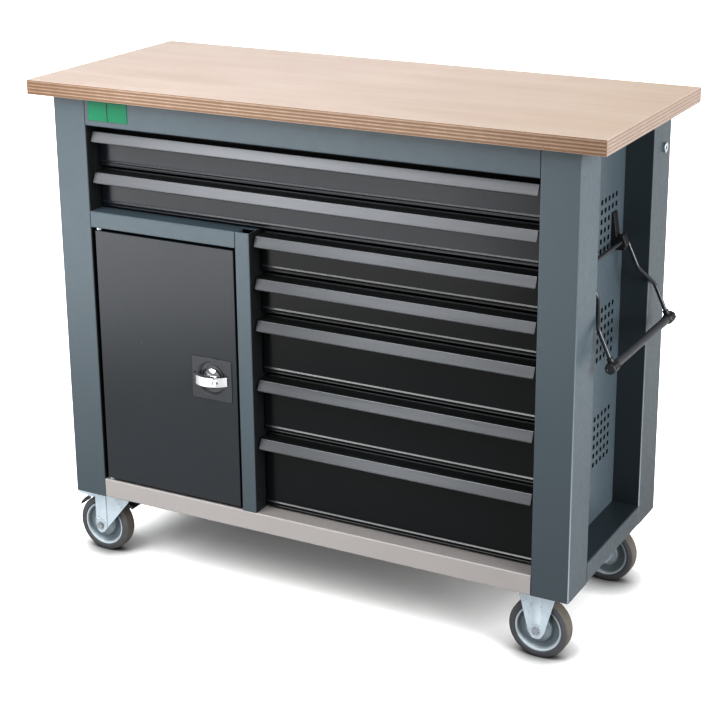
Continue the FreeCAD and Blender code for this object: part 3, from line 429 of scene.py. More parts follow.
# the dish takes a paler copy of the plate's paint, painted light against the shade inside the recess
M["dish"] = powder("lock_dish_painted_light", (0.090, 0.096, 0.104, 1), rough=0.32, rough_var=0.02, peel=0.03, spec=0.5)
# door and drawer fronts share one anthracite paint in three tones: the door's paler copy is painted light, and the
# lower drawers' darker copy is painted shade
M["door"] = powder("door_anthracite_painted_light", (0.0140, 0.0176, 0.0216, 1), rough=0.24, rough_var=0.02, peel=0.025, spec=0.42)
M["plate"] = powder("lock_plate_anthracite", (0.0300, 0.0325, 0.0365, 1), rough=0.34, rough_var=0.02, peel=0.03, spec=0.45)
M["front"] = powder("front_anthracite", (0.0078, 0.0108, 0.0160, 1), rough=0.22, rough_var=0.02, peel=0.025, spec=0.33)
M["front_low"] = powder("front_anthracite_painted_shade", (0.0044, 0.0051, 0.0058, 1), rough=0.20, rough_var=0.02, peel=0.025, spec=0.20)
M["ridge"] = powder("ridge_gloss_black", (0.010, 0.0115, 0.014, 1), rough=0.26, rough_var=0.02, peel=0.02, spec=0.58)
M["back"] = powder("back_anthracite", (0.026, 0.029, 0.033, 1), rough=0.34)
M["tray"] = powder("tray_charcoal", (0.020, 0.021, 0.023, 1), rough=0.36)
M["tile"] = moulded("tile_green", (0.0006, 0.158, 0.075, 1), rough=0.34, grain=700.0, strength=0.05, spec=0.3)
# the strips' tone is painted shade: darker towards the right end, and on the lower drawers' strips, which have a
# slightly darker copy of the paint, also towards the left end
M["strip"] = brushed("strip_satin", (0.152, 0.1565, 0.1640, 1), rough=0.42, axis="X", streak=0.14, tone=((0, 0.25, 0.47, 1.0, 0.78),))
M["strip_low"] = brushed("strip_satin_low", (0.148, 0.1535, 0.1610, 1), rough=0.42, axis="X", streak=0.14,
                         tone=((0, -0.05, 0.15, 0.74, 0.97), (0, 0.25, 0.47, 1.0, 0.83)))
M["zinc"] = zinc("zinc_plate", (0.56, 0.595, 0.62, 1), rough=0.36)
M["castor"] = zinc("zinc_castor", (0.415, 0.465, 0.500, 1), rough=0.30, grain=0.04, metallic=0.42)
M["bolt"] = zinc("zinc_bolt", (0.27, 0.29, 0.31, 1), rough=0.28, grain=0.2, metallic=0.6)
M["zinc_dull"] = zinc("zinc_slides", (0.42, 0.44, 0.46, 1), rough=0.42)
M["plastic"] = moulded("black_plastic", (0.010, 0.010, 0.012, 1), rough=0.42)
M["chrome"] = polished("chrome_polish", (0.62, 0.625, 0.635, 1), rough=0.20)
M["rod"] = brushed("rod_dark_steel", (0.045, 0.048, 0.054, 1), rough=0.34, axis="Z", metallic=0.55, streak=0.2)
M["grip"] = moulded("grip_grey", (0.035, 0.037, 0.041, 1), rough=0.46, grain=900.0, strength=0.12)
M["rim"] = rim_plastic("rim_blue_grey")
M["tyre"] = tyre_rubber("tyre_rubber")


# ------------------------------------------------------------------ mesh helpers
def bevelled(obj, width, seg=2, angle=32.0, clamp=True, weighted=True):
    if width > 0:
        m = obj.modifiers.new("edge", "BEVEL")
        m.width = width * MM
        m.segments = seg
        m.limit_method = "ANGLE"
        m.angle_limit = math.radians(angle)
        m.use_clamp_overlap = clamp
        m.harden_normals = False
        m.miter_outer = "MITER_ARC"
    if weighted:
        w = obj.modifiers.new("normals", "WEIGHTED_NORMAL")
        w.mode = "FACE_AREA_WITH_ANGLE"
        w.weight = 60
        w.keep_sharp = True


def add_mesh(name, bm, mats, body, sharp=32.0, origin=None):
    """Makes an object in the row frame from a bmesh in metres, and lets it ride."""
    bmesh.ops.recalc_face_normals(bm, faces=bm.faces)
    me = bpy.data.meshes.new(name)
    if origin is not None:
        bmesh.ops.translate(bm, vec=-origin, verts=bm.verts)
    bm.to_mesh(me)
    bm.free()
    for m in (mats if isinstance(mats, (list, tuple)) else [mats]):
        me.materials.append(m)
    me.polygons.foreach_set("use_smooth", [True] * len(me.polygons))
    if sharp:
        me.set_sharp_from_angle(angle=math.radians(sharp))
    o = bpy.data.objects.new(name, me)
    bpy.context.scene.collection.objects.link(o)
    if origin is not None:
        o.location = origin
    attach(o, body)
    return o


def cad_piece(node, mat, width=0.35, seg=2, angle=32.0, name=None, mats=None, pick=None, clamp=True, weld=2e-6,
              origin=None, weighted=True):
    """A finished copy of a CAD node: faces welded, flats merged, edges broken."""
    src = NODE[node]
    bm = bmesh.new()
    bm.from_mesh(src.data)
    for layer in list(bm.loops.layers.uv):
        bm.loops.layers.uv.remove(layer)
    bmesh.ops.remove_doubles(bm, verts=bm.verts, dist=weld)
    bmesh.ops.dissolve_limit(bm, angle_limit=math.radians(0.8), use_dissolve_boundaries=False,
                             verts=bm.verts, edges=bm.edges)
    bm.normal_update()
    for f in bm.faces:
        f.material_index = pick(f) if pick else 0
    o = add_mesh(name or node + "_skin", bm, mats or mat, BODY_OF[node],
                 sharp=(60.0 if width > 0 else angle), origin=origin)
    if width > 0:
        bevelled(o, width, seg, angle, clamp, weighted)
    elif weighted:
        bevelled(o, 0)
    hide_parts(node)
    return o


def repaint(node, mat):
    """A CAD node that stays, with its finish."""
    o = NODE[node]
    o.data.materials.clear()
    o.data.materials.append(mat)
    return o


def rounded(pts, radii, seg=5):
    """Closed 2-D loop with an arc at each corner that has a radius."""
    out = []
    n = len(pts)
    for i in range(n):
        p0, p1, p2 = Vector(pts[i - 1]), Vector(pts[i]), Vector(pts[(i + 1) % n])
        r = radii[i]
        if r <= 0:
            out.append(p1)
            continue
        a, b = (p0 - p1).normalized(), (p2 - p1).normalized()
        ang = a.angle(b)
        t = r / math.tan(ang / 2)
        q0, q1 = p1 + a * t, p1 + b * t
        c = p1 + (a + b).normalized() * (r / math.sin(ang / 2))
        v0, v1 = q0 - c, q1 - c
        a0 = math.atan2(v0.y, v0.x)
        d = math.atan2(v1.y, v1.x) - a0
        while d > math.pi:
            d -= 2 * math.pi
        while d < -math.pi:
            d += 2 * math.pi
        k = max(2, round(seg * abs(d) / (math.pi / 2)))
        for j in range(k + 1):
            t = a0 + d * j / k
            out.append(c + Vector((math.cos(t), math.sin(t))) * r)
    return out


TO3 = {
    "xy": lambda a, b, w: R(a, b, w),
    "xz": lambda a, b, w: R(a, w, b),
    "yz": lambda a, b, w: R(w, a, b),
}


def prism(bm, plane, loop, w0, w1, mat=0):
    f3 = TO3[plane]
    lo = [bm.verts.new(f3(p[0], p[1], w0)) for p in loop]
    hi = [bm.verts.new(f3(p[0], p[1], w1)) for p in loop]
    n = len(loop)
    fs = [bm.faces.new((lo[i], lo[(i + 1) % n], hi[(i + 1) % n], hi[i])) for i in range(n)]
    fs.append(bm.faces.new(lo[::-1]))
    fs.append(bm.faces.new(hi))
    for f in fs:
        f.material_index = mat
    return fs


def block(bm, x0, x1, y0, y1, z0, z1, mat=0):
    return prism(bm, "xy", [(x0, y0), (x1, y0), (x1, y1), (x0, y1)], z0, z1, mat)


def bent(line, t, side, r, seg=6, cuts=None):
    """Outer and inner polylines of a folded sheet, with the same number of points.
    cuts gives, for a segment's number, extra points along it."""
    n = len(line)
    P = [Vector(p) for p in line]
    d = [(P[i + 1] - P[i]).normalized() for i in range(n - 1)]
    nrm = [Vector((-v.y, v.x)) * side for v in d]
    outer, inner = [P[0]], [P[0] + nrm[0] * t]
    for i in range(1, n - 1):
        if cuts and cuts.get(i - 1):
            for c in cuts[i - 1]:
                q = P[i - 1] + (P[i] - P[i - 1]) * c
                outer.append(q)
                inner.append(q + nrm[i - 1] * t)
        d0, d1 = d[i - 1], d[i]
        turn = (d0.x * d1.y - d0.y * d1.x) * side
        rad = (r, max(r - t, 0.3)) if turn > 0 else (max(r - t, 0.3), r)
        a0 = math.atan2(nrm[i - 1].y, nrm[i - 1].x)
        da = math.atan2(nrm[i].y, nrm[i].x) - a0
        while da > math.pi:
            da -= 2 * math.pi
        while da < -math.pi:
            da += 2 * math.pi
        k = max(3, round(seg * abs(da) / (math.pi / 2)))
        c_ = 1.0 + nrm[i - 1].dot(nrm[i])
        Q = P[i] + (nrm[i - 1] + nrm[i]) * (t / c_)
        for pts, corner, rr in ((outer, P[i], rad[0]), (inner, Q, rad[1])):
            ang = math.pi - abs(da)
            h = rr / math.sin(ang / 2)
            bis = (-d0 + d1).normalized()
            cen = corner + bis * h
            sgn = -1 if turn > 0 else 1
            for j in range(k + 1):
                th = a0 + da * j / k
                pts.append(cen + Vector((math.cos(th), math.sin(th))) * rr * sgn)
    i = n - 1
    if cuts and cuts.get(i - 1):
        for c in cuts[i - 1]:
            q = P[i - 1] + (P[i] - P[i - 1]) * c
            outer.append(q)
            inner.append(q + nrm[i - 1] * t)
    outer.append(P[-1])
    inner.append(P[-1] + nrm[-1] * t)
    return outer, inner


def folded(bm, plane, line, t, side, w0, w1, r=2.2, seg=6, cuts=None, inset=None, mat=0):
    """Folded sheet as quads. inset(a, b) moves an end in, for rounded corners."""
    f3 = TO3[plane]
    outer, inner = bent(line, t, side, r, seg, cuts)
    ring = []
    for a, b in zip(outer, inner):
        ia = inset(a.x, a.y) if inset else 0.0
        ring.append([bm.verts.new(f3(a.x, a.y, w0 + ia)), bm.verts.new(f3(b.x, b.y, w0 + ia)),
                     bm.verts.new(f3(b.x, b.y, w1 - ia)), bm.verts.new(f3(a.x, a.y, w1 - ia))])
    for p, q in zip(ring, ring[1:]):
        for i in range(4):
            j = (i + 1) % 4
            f = bm.faces.new((p[i], p[j], q[j], q[i]))
            f.material_index = mat
    for r_ in (ring[0][::-1], ring[-1]):
        f = bm.faces.new(r_)
        f.material_index = mat


def turned(bm, profile, centre, axis="Y", seg=96, mat=None, wobble=None):
    """Closed profile of (along, radius) points turned about an axis through centre."""
    rows = []
    for k in range(seg):
        th = 2 * math.pi * k / seg
        row = []
        for i, (a, r) in enumerate(profile):
            if wobble:
                r = r * wobble(th, a, r)
            c, s = math.cos(th) * r, math.sin(th) * r
            if axis == "Y":
                v = Vector((c, a, s))
            elif axis == "X":
                v = Vector((a, c, s))
            else:
                v = Vector((c, s, a))
            row.append(bm.verts.new(R(*(Vector(centre) + v))))
        rows.append(row)
    n = len(profile)
    for k in range(seg):
        p, q = rows[k], rows[(k + 1) % seg]
        for i in range(n):
            j = (i + 1) % n
            f = bm.faces.new((p[i], p[j], q[j], q[i]))
            if mat:
                f.material_index = mat(profile[i], profile[j])


def turned_solid(bm, profile, centre, axis="Y", seg=64, wobble=None):
    """Profile that starts and ends on the axis: (along, radius) points, closed by its poles."""
    f_axis = {"Y": lambda a, c, s: Vector((c, a, s)), "X": lambda a, c, s: Vector((a, c, s)),
              "Z": lambda a, c, s: Vector((c, s, a))}[axis]
    C = Vector(centre)
    poles = [bm.verts.new(R(*(C + f_axis(profile[0][0], 0, 0)))), bm.verts.new(R(*(C + f_axis(profile[-1][0], 0, 0))))]
    body = profile[1:-1]
    rows = []
    for k in range(seg):
        th = 2 * math.pi * k / seg
        row = []
        for a, r in body:
            rr = r * (wobble(th, a, r) if wobble else 1.0)
            row.append(bm.verts.new(R(*(C + f_axis(a, math.cos(th) * rr, math.sin(th) * rr)))))
        rows.append(row)
    for k in range(seg):
        p, q = rows[k], rows[(k + 1) % seg]
        for i in range(len(body) - 1):
            bm.faces.new((p[i], p[i + 1], q[i + 1], q[i]))
        bm.faces.new((poles[0], p[0], q[0]))
        bm.faces.new((p[-1], poles[1], q[-1]))


# ------------------------------------------------------------------ worktop
bm = bmesh.new()
for f in block(bm, -51.5, 1198.5, -17.5, 504.5, 0.0, 30.0):
    pass
bm.faces.ensure_lookup_table()
bmesh.ops.recalc_face_normals(bm, faces=bm.faces)
bm.normal_update()
for f in bm.faces:
    nx, ny, nz = f.normal
    f.material_index = 0 if nz > 0.5 else 1 if nz < -0.5 else 2 if abs(ny) > 0.5 else 3
top = add_mesh("worktop_board", bm, [M["ply_top"], M["ply_under"], M["ply_front"], M["ply_end"]], "root", sharp=0)
bevelled(top, 1.0, 3, 30.0)
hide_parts("worktop")

# ------------------------------------------------------------------ frame, panels, walls
def reveal(*xs, corner=0):
    """Faces that look along x at these places, beside the drawers, which get the near-black inner paint as painted
    shade, and the bend of the front outer corner, which gets the pale fold paint as a painted highlight.
    """
    at = [(x + OX) * MM for x in xs]

    def choose(f):
        c = f.calc_center_median()
        if f.normal.x * corner > 0.25 and f.normal.y < -0.25 and abs(f.normal.z) < 0.1:
            return 2
        return 1 if abs(f.normal.x) > 0.7 and any(abs(c.x - a) < 0.0025 for a in at) else 0
    return choose


# the posts' faces beside the drawers take the near-black inner paint, a painted shade; the outer front corners' bends
# take the pale fold paint, a painted highlight
cad_piece("end_frame_left", None, 0.45, mats=[M["frame"], M["inner"], M["fold"]], pick=reveal(POST_W, corner=-1))
cad_piece("end_frame_right", None, 0.45, mats=[M["frame"], M["inner"], M["fold"]], pick=reveal(FRAME_W - POST_W, corner=1))
def perforated(bm, xa, xb):
    """Panel sheet with three fields of square holes, as quads between grid lines."""
    ys, zs = [97.0, 390.0], [-831.5, 0.0]
    cols = [347.3 - c * 19.8 for c in range(11)]
    rows = [t - r * 19.55 for t in (-161.4, -384.0, -607.0) for r in range(6)]
    ys = sorted(ys + [c + d for c in cols for d in (-5.0, 5.0)])
    zs = sorted(zs + [c + d for c in rows for d in (-5.0, 5.0)])
    hole = lambda i, j: any(abs((ys[i] + ys[i + 1]) / 2 - c) < 0.1 for c in cols) and \
        any(abs((zs[j] + zs[j + 1]) / 2 - c) < 0.1 for c in rows)
    skin = [[[bm.verts.new(R(x, y, z)) for z in zs] for y in ys] for x in (xa, xb)]
    ny, nz = len(ys) - 1, len(zs) - 1
    for i in range(ny):
        for j in range(nz):
            ring = ((i, j), (i + 1, j), (i + 1, j + 1), (i, j + 1))
            if hole(i, j):
                for (a, b), (c, d) in zip(ring, ring[1:] + ring[:1]):
                    bm.faces.new((skin[0][a][b], skin[0][c][d], skin[1][c][d], skin[1][a][b]))
            else:
                for k in (0, 1):
                    bm.faces.new([skin[k][a][b] for a, b in ring])
    for j in range(nz):
        for i in (0, ny):
            bm.faces.new((skin[0][i][j], skin[0][i][j + 1], skin[1][i][j + 1], skin[1][i][j]))
    for i in range(ny):
        for j in (0, nz):
            bm.faces.new((skin[0][i][j], skin[0][i + 1][j], skin[1][i + 1][j], skin[1][i][j]))


for tag, xa in (("right", 1087.1), ("left", 58.4)):
    bm = bmesh.new()
    perforated(bm, xa, xa + THIN)
    o = add_mesh("perforated_panel_" + tag, bm, M["panel"], "root", sharp=30)
    bevelled(o, 0.3, 2, 40.0, clamp=False)
    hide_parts("side_panels")
cad_piece("top_rails", M["frame"], 0.4)
# the divider's face beside the narrow drawers takes the near-black inner paint, a painted shade
cad_piece("cupboard_divider", None, 0.4, mats=[M["frame"], M["inner"]], pick=reveal(DIV_X1))
cad_piece("cabinet_walls", None, 0.3, mats=[M["inner"], M["back"]],
          pick=lambda f: 1 if f.normal.y > 0.7 and f.calc_center_median().y > (REAR_WALL + OY - 1) * MM else 0)
bm = bmesh.new()
for sx in (POST_W + 14, 330.0, MID_X, FRAME_W - 330.0, FRAME_W - POST_W - 14):
    for sz in (-74.0, -440.0, -808.0):
        if sz == -440.0 and POST_W + 20 < sx < FRAME_W - POST_W - 20:
            continue
        turned_solid(bm, [(-0.6, 0), (-0.6, 6.0), (0.2, 6.0), (0.7, 5.6), (1.5, 4.4), (2.1, 2.4), (2.1, 1.6), (1.3, 1.4), (1.3, 0)],
                     (sx, REAR_WALL + THIN, sz), "Y", 28)
o = add_mesh("back_screws", bm, M["zinc_dull"], "root", sharp=45)
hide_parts("cabinet_walls")
cad_piece("cupboard_shelf", M["tray"], 0.3)
cad_piece("base_tray", M["base"], 0.4)
for n in ("slide_channels",):
    repaint(n, M["zinc_dull"])
repaint("door_hinge_pins", M["zinc_dull"])
cad_piece("label_tiles", M["tile"], 0.3)
cad_piece("handle_brackets", M["plastic"], 0.8, seg=3)


def axle_end(ax):
    """Faces of the axle bolt at this x, in mm."""
    c = R(ax, 0.0, AXLE_Z)

    def choose(f):
        m = f.calc_center_median()
        return 1 if math.hypot(m.x - c.x, m.z - c.z) < 8.6 * MM else 0
    return choose


cad_piece("fixed_castor_brackets", None, 0.5, mats=[M["castor"], M["bolt"]], pick=axle_end(1069.0))
cad_piece("swivel_castor_plates", M["castor"], 0.5)
cad_piece("fasteners", M["zinc"], 0.3)

# ------------------------------------------------------------------ drawers
PANEL_Y = 38.0
TRAY_Y1 = 460.0
for tag, zt, h, wide in DRAWERS:
    body = "drawer_" + tag
    cell0 = POST_W if wide else DIV_X1
    wall0 = WALL_IN_L if wide else DIV_X1
    x0, x1 = cell0 + 3.5, FRAME_W - POST_W - 5.5
    tx0, tx1 = wall0 + 12.5, WALL_IN_R - 12.5
    zb = zt - h
    y = PANEL_Y
    # front panel with its two rolled ridges
    bm = bmesh.new()
    pts = [(y, zt - 1.8), (y, zb + 11.8), (y - 2.5, zb + 8.6), (y - 2.5, zb + 7.6), (y - 0.3, zb + 5.6), (y - 0.3, zb + 3.0),
           (y - 1.5, zb + 1.6), (y - 1.5, zb + 0.8), (y - 0.9, zb), (y + 2, zb), (y + 2, zt - 1.8)]
    rad = [0, 1.6, 0.9, 0.6, 0.9, 0.5, 0.6, 0.4, 0.4, 0, 0]
    prism(bm, "yz", rounded(pts, rad, 6), x0, x1)
    bmesh.ops.recalc_face_normals(bm, faces=bm.faces)
    bm.normal_update()
    for f in bm.faces:
        if f.normal.y < -0.5 and f.normal.z > 0.42 and f.calc_center_median().z > R(0, 0, zb + 6).z:
            f.material_index = 1
    # the lower drawers take the darker copy of the front paint, a painted shade
    paint = M["front"] if wide else M["front_low"]
    o = add_mesh(body + "_front", bm, [paint, M["ridge"]], body, sharp=50)
    bevelled(o, 0.3, 3, 62.0, clamp=False)
    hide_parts("drawer_%s_tray" % tag)
    # side and foot returns behind the panel
    bm = bmesh.new()
    folded(bm, "xz", [(x0, zt - 2.2), (x0, zb + 0.05), (x1, zb + 0.05), (x1, zt - 2.2)], THIN, 1, y + 2.0, y + 11, r=2.0, seg=4)
    o = add_mesh(body + "_front_returns", bm, paint, body)
    bevelled(o, 0.25, 1, 40.0, clamp=False)
    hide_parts("drawer_%s_tray" % tag)
    # tray with rolled-in rims
    fb, wt = zb + 2.0, zt - 12.0
    bm = bmesh.new()
    folded(bm, "xz", [(tx0 + 9, wt), (tx0, wt), (tx0, fb), (tx1, fb), (tx1, wt), (tx1 - 9, wt)], THIN, 1,
           y + 2.0, TRAY_Y1 - 0.2, r=2.4, seg=5)
    folded(bm, "yz", [(TRAY_Y1 - 9, wt + 0.05), (TRAY_Y1, wt + 0.05), (TRAY_Y1, fb + THIN)], THIN, -1,
           tx0 + THIN + 0.05, tx1 - THIN - 0.05, r=2.4, seg=5)
    o = add_mesh(body + "_box", bm, M["tray"], body)
    bevelled(o, 0.3, 1, 40.0, clamp=False)
    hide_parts("drawer_%s_tray" % tag)
    # slide members on the side walls
    zc = (fb + wt) / 2
    bm = bmesh.new()
    for xa, sg in ((tx0, -1), (tx1, 1)):
        folded(bm, "xz", [(xa + sg * 7.5, zc - 10), (xa, zc - 10), (xa, zc + 10), (xa + sg * 7.5, zc + 10)], 1.3,
               1 if sg > 0 else -1, y + 16, TRAY_Y1 - 6, r=1.6, seg=4)
        for yy in (y + 40, (y + TRAY_Y1) / 2, TRAY_Y1 - 40):
            turned_solid(bm, [(sg * 2.2, 0), (sg * 2.2, 2.0), (sg * 1.3, 3.0), (sg * 0.2, 3.0), (sg * 0.2, 0)],
                         (xa, yy, zc), "X", 16)
    o = add_mesh(body + "_runners", bm, M["zinc_dull"], body)
    bevelled(o, 0.2, 1, 40.0, clamp=False)
    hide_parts("drawer_%s_tray" % tag)
    # slanted grip strip with rounded lower corners
    bm = bmesh.new()
    zr = zt - 18.4

    def inset(a, b, zr=zr):
        if a > 17.0 or b >= zr:
            return 0.0
        return 5.0 - math.sqrt(max(25.0 - (zr - b) ** 2, 0.0))
    cuts = {2: [0.03, 0.5, 0.80, 0.83, 0.86, 0.89, 0.915, 0.935, 0.955]}
    folded(bm, "yz", [(50.0, zt + 3.0), (50.0, zt), (18.0, zt), (9.0, zt - 21.0), (13.4, zt - 23.4)], 1.8, 1, x0, x1 - 2.0,
           r=2.2, seg=8, cuts=cuts, inset=inset)
    o = add_mesh(body + "_strip", bm, M["strip"] if wide else M["strip_low"], body, sharp=45)
    bevelled(o, 0.35, 2, 50.0, clamp=False)
    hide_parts("drawer_%s_grip_strip" % tag)
    repaint("drawer_%s_slides" % tag, M["zinc_dull"])

# ------------------------------------------------------------------ door and lock
cad_piece("door_panel", M["door"], 0.3)
LOCK_C = R(LOCK_X, 0.0, LOCK_Z)
# the dish faces inside the plate take the paler dish paint, a painted light
cad_piece("lock_plate", None, 0.5, seg=3, angle=40, mats=[M["plate"], M["dish"]],
          pick=lambda f: 1 if f.calc_center_median().y > (OY - 0.9) * MM and math.hypot(
              f.calc_center_median().x - LOCK_C.x, f.calc_center_median().z - LOCK_C.z) < 36.3 * MM else 0)
cad_piece("lock_bow_handle", M["chrome"], 0.6, seg=3, angle=40)
cad_piece("lock_key_plug", M["chrome"], 0.3, seg=2, angle=40)
repaint("lock_cam", M["zinc"])

# ------------------------------------------------------------------ push handle
cad_piece("push_handle_rod", M["rod"], 0.0, angle=50, weighted=False)
LEAN = math.radians(25.0)
PIV_X, PIV_Z = 1109.5, -251.6
GRIP_S = 184.0
gx, gz = PIV_X + GRIP_S * math.sin(LEAN), PIV_Z - GRIP_S * math.cos(LEAN)
bm = bmesh.new()
prof = [(-146.0, 0)] + [(-146.0, 7.2), (-145.7, 7.7), (-145.0, 8.0)] + \
       [(-145 + 290 * k / 12.0, 8.0) for k in range(1, 12)] + [(145.0, 8.0), (145.7, 7.7), (146.0, 7.2), (146.0, 0)]
turned_solid(bm, prof, (gx, MID_Y, gz), "Y", 64)
o = add_mesh("push_handle_tube", bm, M["grip"], "push_handle")
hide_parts("push_handle_grip")
bm = bmesh.new()
for sg in (1, -1):
    lobes = lambda th, a, r: 1.0 - (0.075 * (0.5 - 0.5 * math.cos(8 * th)) ** 0.7 if r > 9 else 0.0)
    pr = [(146.0, 0), (146.0, 8.6), (147.2, 10.4), (148.6, 11.2), (152.5, 11.2), (153.4, 10.7), (154.6, 10.7), (155.5, 11.2),
          (171.5, 11.2), (173.2, 10.5), (174.0, 9.2), (174.0, 6.2), (173.2, 5.6), (173.2, 0)]
    turned_solid(bm, [(sg * a, r) for a, r in pr], (gx, MID_Y, gz), "Y", 96, lobes)
    # collar where the arm goes in
    base = Vector((PIV_X + (GRIP_S - 17.5) * math.sin(LEAN), MID_Y + sg * 157.0, PIV_Z - (GRIP_S - 17.5) * math.cos(LEAN)))
    tmp = bmesh.new()
    turned_solid(tmp, [(0.0, 0), (0.0, 5.4), (0.5, 6.1), (1.2, 6.4), (12.0, 6.4), (12.0, 0)], (0, 0, 0), "Z", 40)
    rot = Matrix.Rotation(math.pi - LEAN, 4, "Y")
    for v in tmp.verts:
        local = v.co - R(0, 0, 0)
        v.co = R(*base) + (rot @ local)
    me = bpy.data.meshes.new("tmp")
    tmp.to_mesh(me)
    tmp.free()
    bm.from_mesh(me)
    bpy.data.meshes.remove(me)
o = add_mesh("push_handle_knobs", bm, M["plastic"], "push_handle", sharp=45)
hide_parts("push_handle_end_caps")

# ------------------------------------------------------------------ castors
for t in ("front", "rear"):
    cad_piece("swivel_fork_%s_left" % t, None, 0.5, mats=[M["castor"], M["bolt"]], pick=axle_end(34.0))
    cad_piece("brake_pedal_%s_left" % t, M["castor"], 0.5)
    cad_piece("brake_shoe_%s_left" % t, M["plastic"], 0.35)


def curve_profile(pts, radii, seg=5):
    return [(p.x, p.y) for p in rounded(pts, radii, seg)]


for tag, cx, cy in (("front_left", 34.0, 60.0), ("rear_left", 34.0, 427.0), ("front_right", 1069.0, 60.0),
                    ("rear_right", 1069.0, 427.0)):
    body = "wheel_" + tag
    cen = R(cx, cy, AXLE_Z)
    bm = bmesh.new()
    rim = curve_profile(
        [(-21.6, 5.05), (-21.6, 13.0), (-17.5, 15.0), (-15.0, 27.0), (-6.0, 30.0), (-6.0, 42.0), (-14.6, 44.6),
         (-14.6, 48.5), (14.6, 48.5), (14.6, 44.6), (6.0, 42.0), (6.0, 30.0), (15.0, 27.0), (17.5, 15.0),
         (21.6, 13.0), (21.6, 5.05)], [0.4, 1.5, 2.0, 2.6, 2.6, 2.6, 1.4, 0.5, 0.5, 1.4, 2.6, 2.6, 2.6, 2.0, 1.5, 0.4], 5)
    turned(bm, rim, (cx, cy, AXLE_Z), "Y", 112)
    o = add_mesh("wheel_disc_" + tag, bm, M["rim"], body, sharp=50, origin=cen)
    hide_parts("wheel_rim_" + tag)
    bm = bmesh.new()
    tyre = curve_profile(
        [(-14.7, 48.3), (-16.0, 49.2), (-16.0, 54.4), (-15.3, 55.2), (-15.3, 56.4), (-13.6, 61.0), (-10.5, 62.4), (0.0, 62.5),
         (10.5, 62.4), (13.6, 61.0), (15.3, 56.4), (15.3, 55.2), (16.0, 54.4), (16.0, 49.2), (14.7, 48.3)],
        [0.3, 0.8, 0.5, 0.3, 1.0, 2.5, 3.0, 0, 3.0, 2.5, 1.0, 0.3, 0.5, 0.8, 0.3], 5)
    turned(bm, tyre, (cx, cy, AXLE_Z), "Y", 144)
    o = add_mesh("wheel_tyre_" + tag, bm, M["tyre"], body, sharp=50, origin=cen)
    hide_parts("tyre_" + tag)

# ------------------------------------------------------------------ camera
CAM_AZ, CAM_EL, CAM_ROLL = 28.3297, 17.6638, -0.4580
CAM_F_PX = 1745.7261
CAM_POS = Vector((2209.3 + OX, -2788.2 + OY, 697.8 + OZ)) * MM
cam_data = bpy.data.cameras.new("camera")
cam_data.sensor_fit = "HORIZONTAL"
cam_data.sensor_width = 36.0
cam_data.lens = CAM_F_PX / 720.0 * 36.0
cam_data.shift_y = -0.10
cam_data.clip_end = 200.0
cam = bpy.data.objects.new("camera", cam_data)
bpy.context.scene.collection.objects.link(cam)
a, e, ro = math.radians(CAM_AZ), math.radians(CAM_EL), math.radians(CAM_ROLL)
back = Vector((math.sin(a) * math.cos(e), -math.cos(a) * math.cos(e), math.sin(e)))
right = (-back).cross(Vector((0, 0, 1))).normalized()
up = right.cross(-back)
r2 = right * math.cos(ro) + up * math.sin(ro)
u2 = -right * math.sin(ro) + up * math.cos(ro)
mw = Matrix.Identity(4)
for i in range(3):
    mw[i][0], mw[i][1], mw[i][2], mw[i][3] = r2[i], u2[i], back[i], CAM_POS[i]
cam.matrix_world = mw
bpy.context.scene.camera = cam

# ------------------------------------------------------------------ floor, world and lights
FLOOR_LESS_DIFFUSE, FLOOR_LESS_GLOSSY = 0.55, 0.40
g = Graph("floor_pale")
fine = g.noise(scale=3.0, detail=3.0, rough=0.5)
pale = g.mix(fine, (0.90, 0.90, 0.90, 1), (0.93, 0.93, 0.93, 1))
# the floor gives back less light than it shows, so it doesn't flood the object from below
path = g.nt.nodes.new("ShaderNodeLightPath")
keep = g.math("SUBTRACT", 1.0, g.math("MULTIPLY", path.outputs["Is Diffuse Ray"], FLOOR_LESS_DIFFUSE))
keep = g.math("SUBTRACT", keep, g.math("MULTIPLY", path.outputs["Is Glossy Ray"], FLOOR_LESS_GLOSSY))
# ambient occlusion darkens the floor's colour near the wheels and the bench: a painted contact shadow
near = g.nt.nodes.new("ShaderNodeAmbientOcclusion")
near.samples = 8
near.inputs["Distance"].default_value = 0.085
painted_contact_shadow = g.math("POWER", near.outputs["AO"], 2.0)
keep = g.math("MULTIPLY", keep, painted_contact_shadow)
dim = g.nt.nodes.new("ShaderNodeVectorMath")
dim.operation = "SCALE"
g.put(dim, 0, pale)
g.finish(Base_Color=dim.outputs[0])
# the floor glows a hand's breadth away from the bench, a painted light, and is darkened under the bench, deeper towards
# the back, as a painted shadow
fx, fy, fz = g.sep()
past_x = g.math("MAXIMUM", g.math("SUBTRACT", g.math("ABSOLUTE", fx), 0.43), 0.0)
past_y = g.math("MAXIMUM", g.math("SUBTRACT", g.math("ABSOLUTE", fy), 0.245), 0.0)
past = g.math("SQRT", g.math("ADD", g.math("MULTIPLY", past_x, past_x), g.math("MULTIPLY", past_y, past_y)))
deep = g.remap(fy, -0.22, 0.08, 0.06, 0.42)
middle = g.math("MULTIPLY", g.remap(g.math("ABSOLUTE", fx), 0.33, 0.50, 1.0, 0.0), g.remap(past_y, 0.0, 0.12, 1.0, 0.0))
painted_shadow_under = g.math("SUBTRACT", 1.0, g.math("MULTIPLY", deep, middle))
painted_glow = g.math("MULTIPLY", g.math("MULTIPLY", g.remap(past, 0.0, 0.17, 0.0, 0.46), keep), keep)
g.put(dim, "Scale", g.math("MULTIPLY", keep, painted_shadow_under))
g.put(g.b, "Emission Color", pale)
g.put(g.b, "Emission Strength", painted_glow)
g.b.inputs["Roughness"].default_value = 0.85
g.b.inputs["Specular IOR Level"].default_value = 0.1
bm = bmesh.new()
bmesh.ops.create_grid(bm, x_segments=4, y_segments=4, size=30.0)
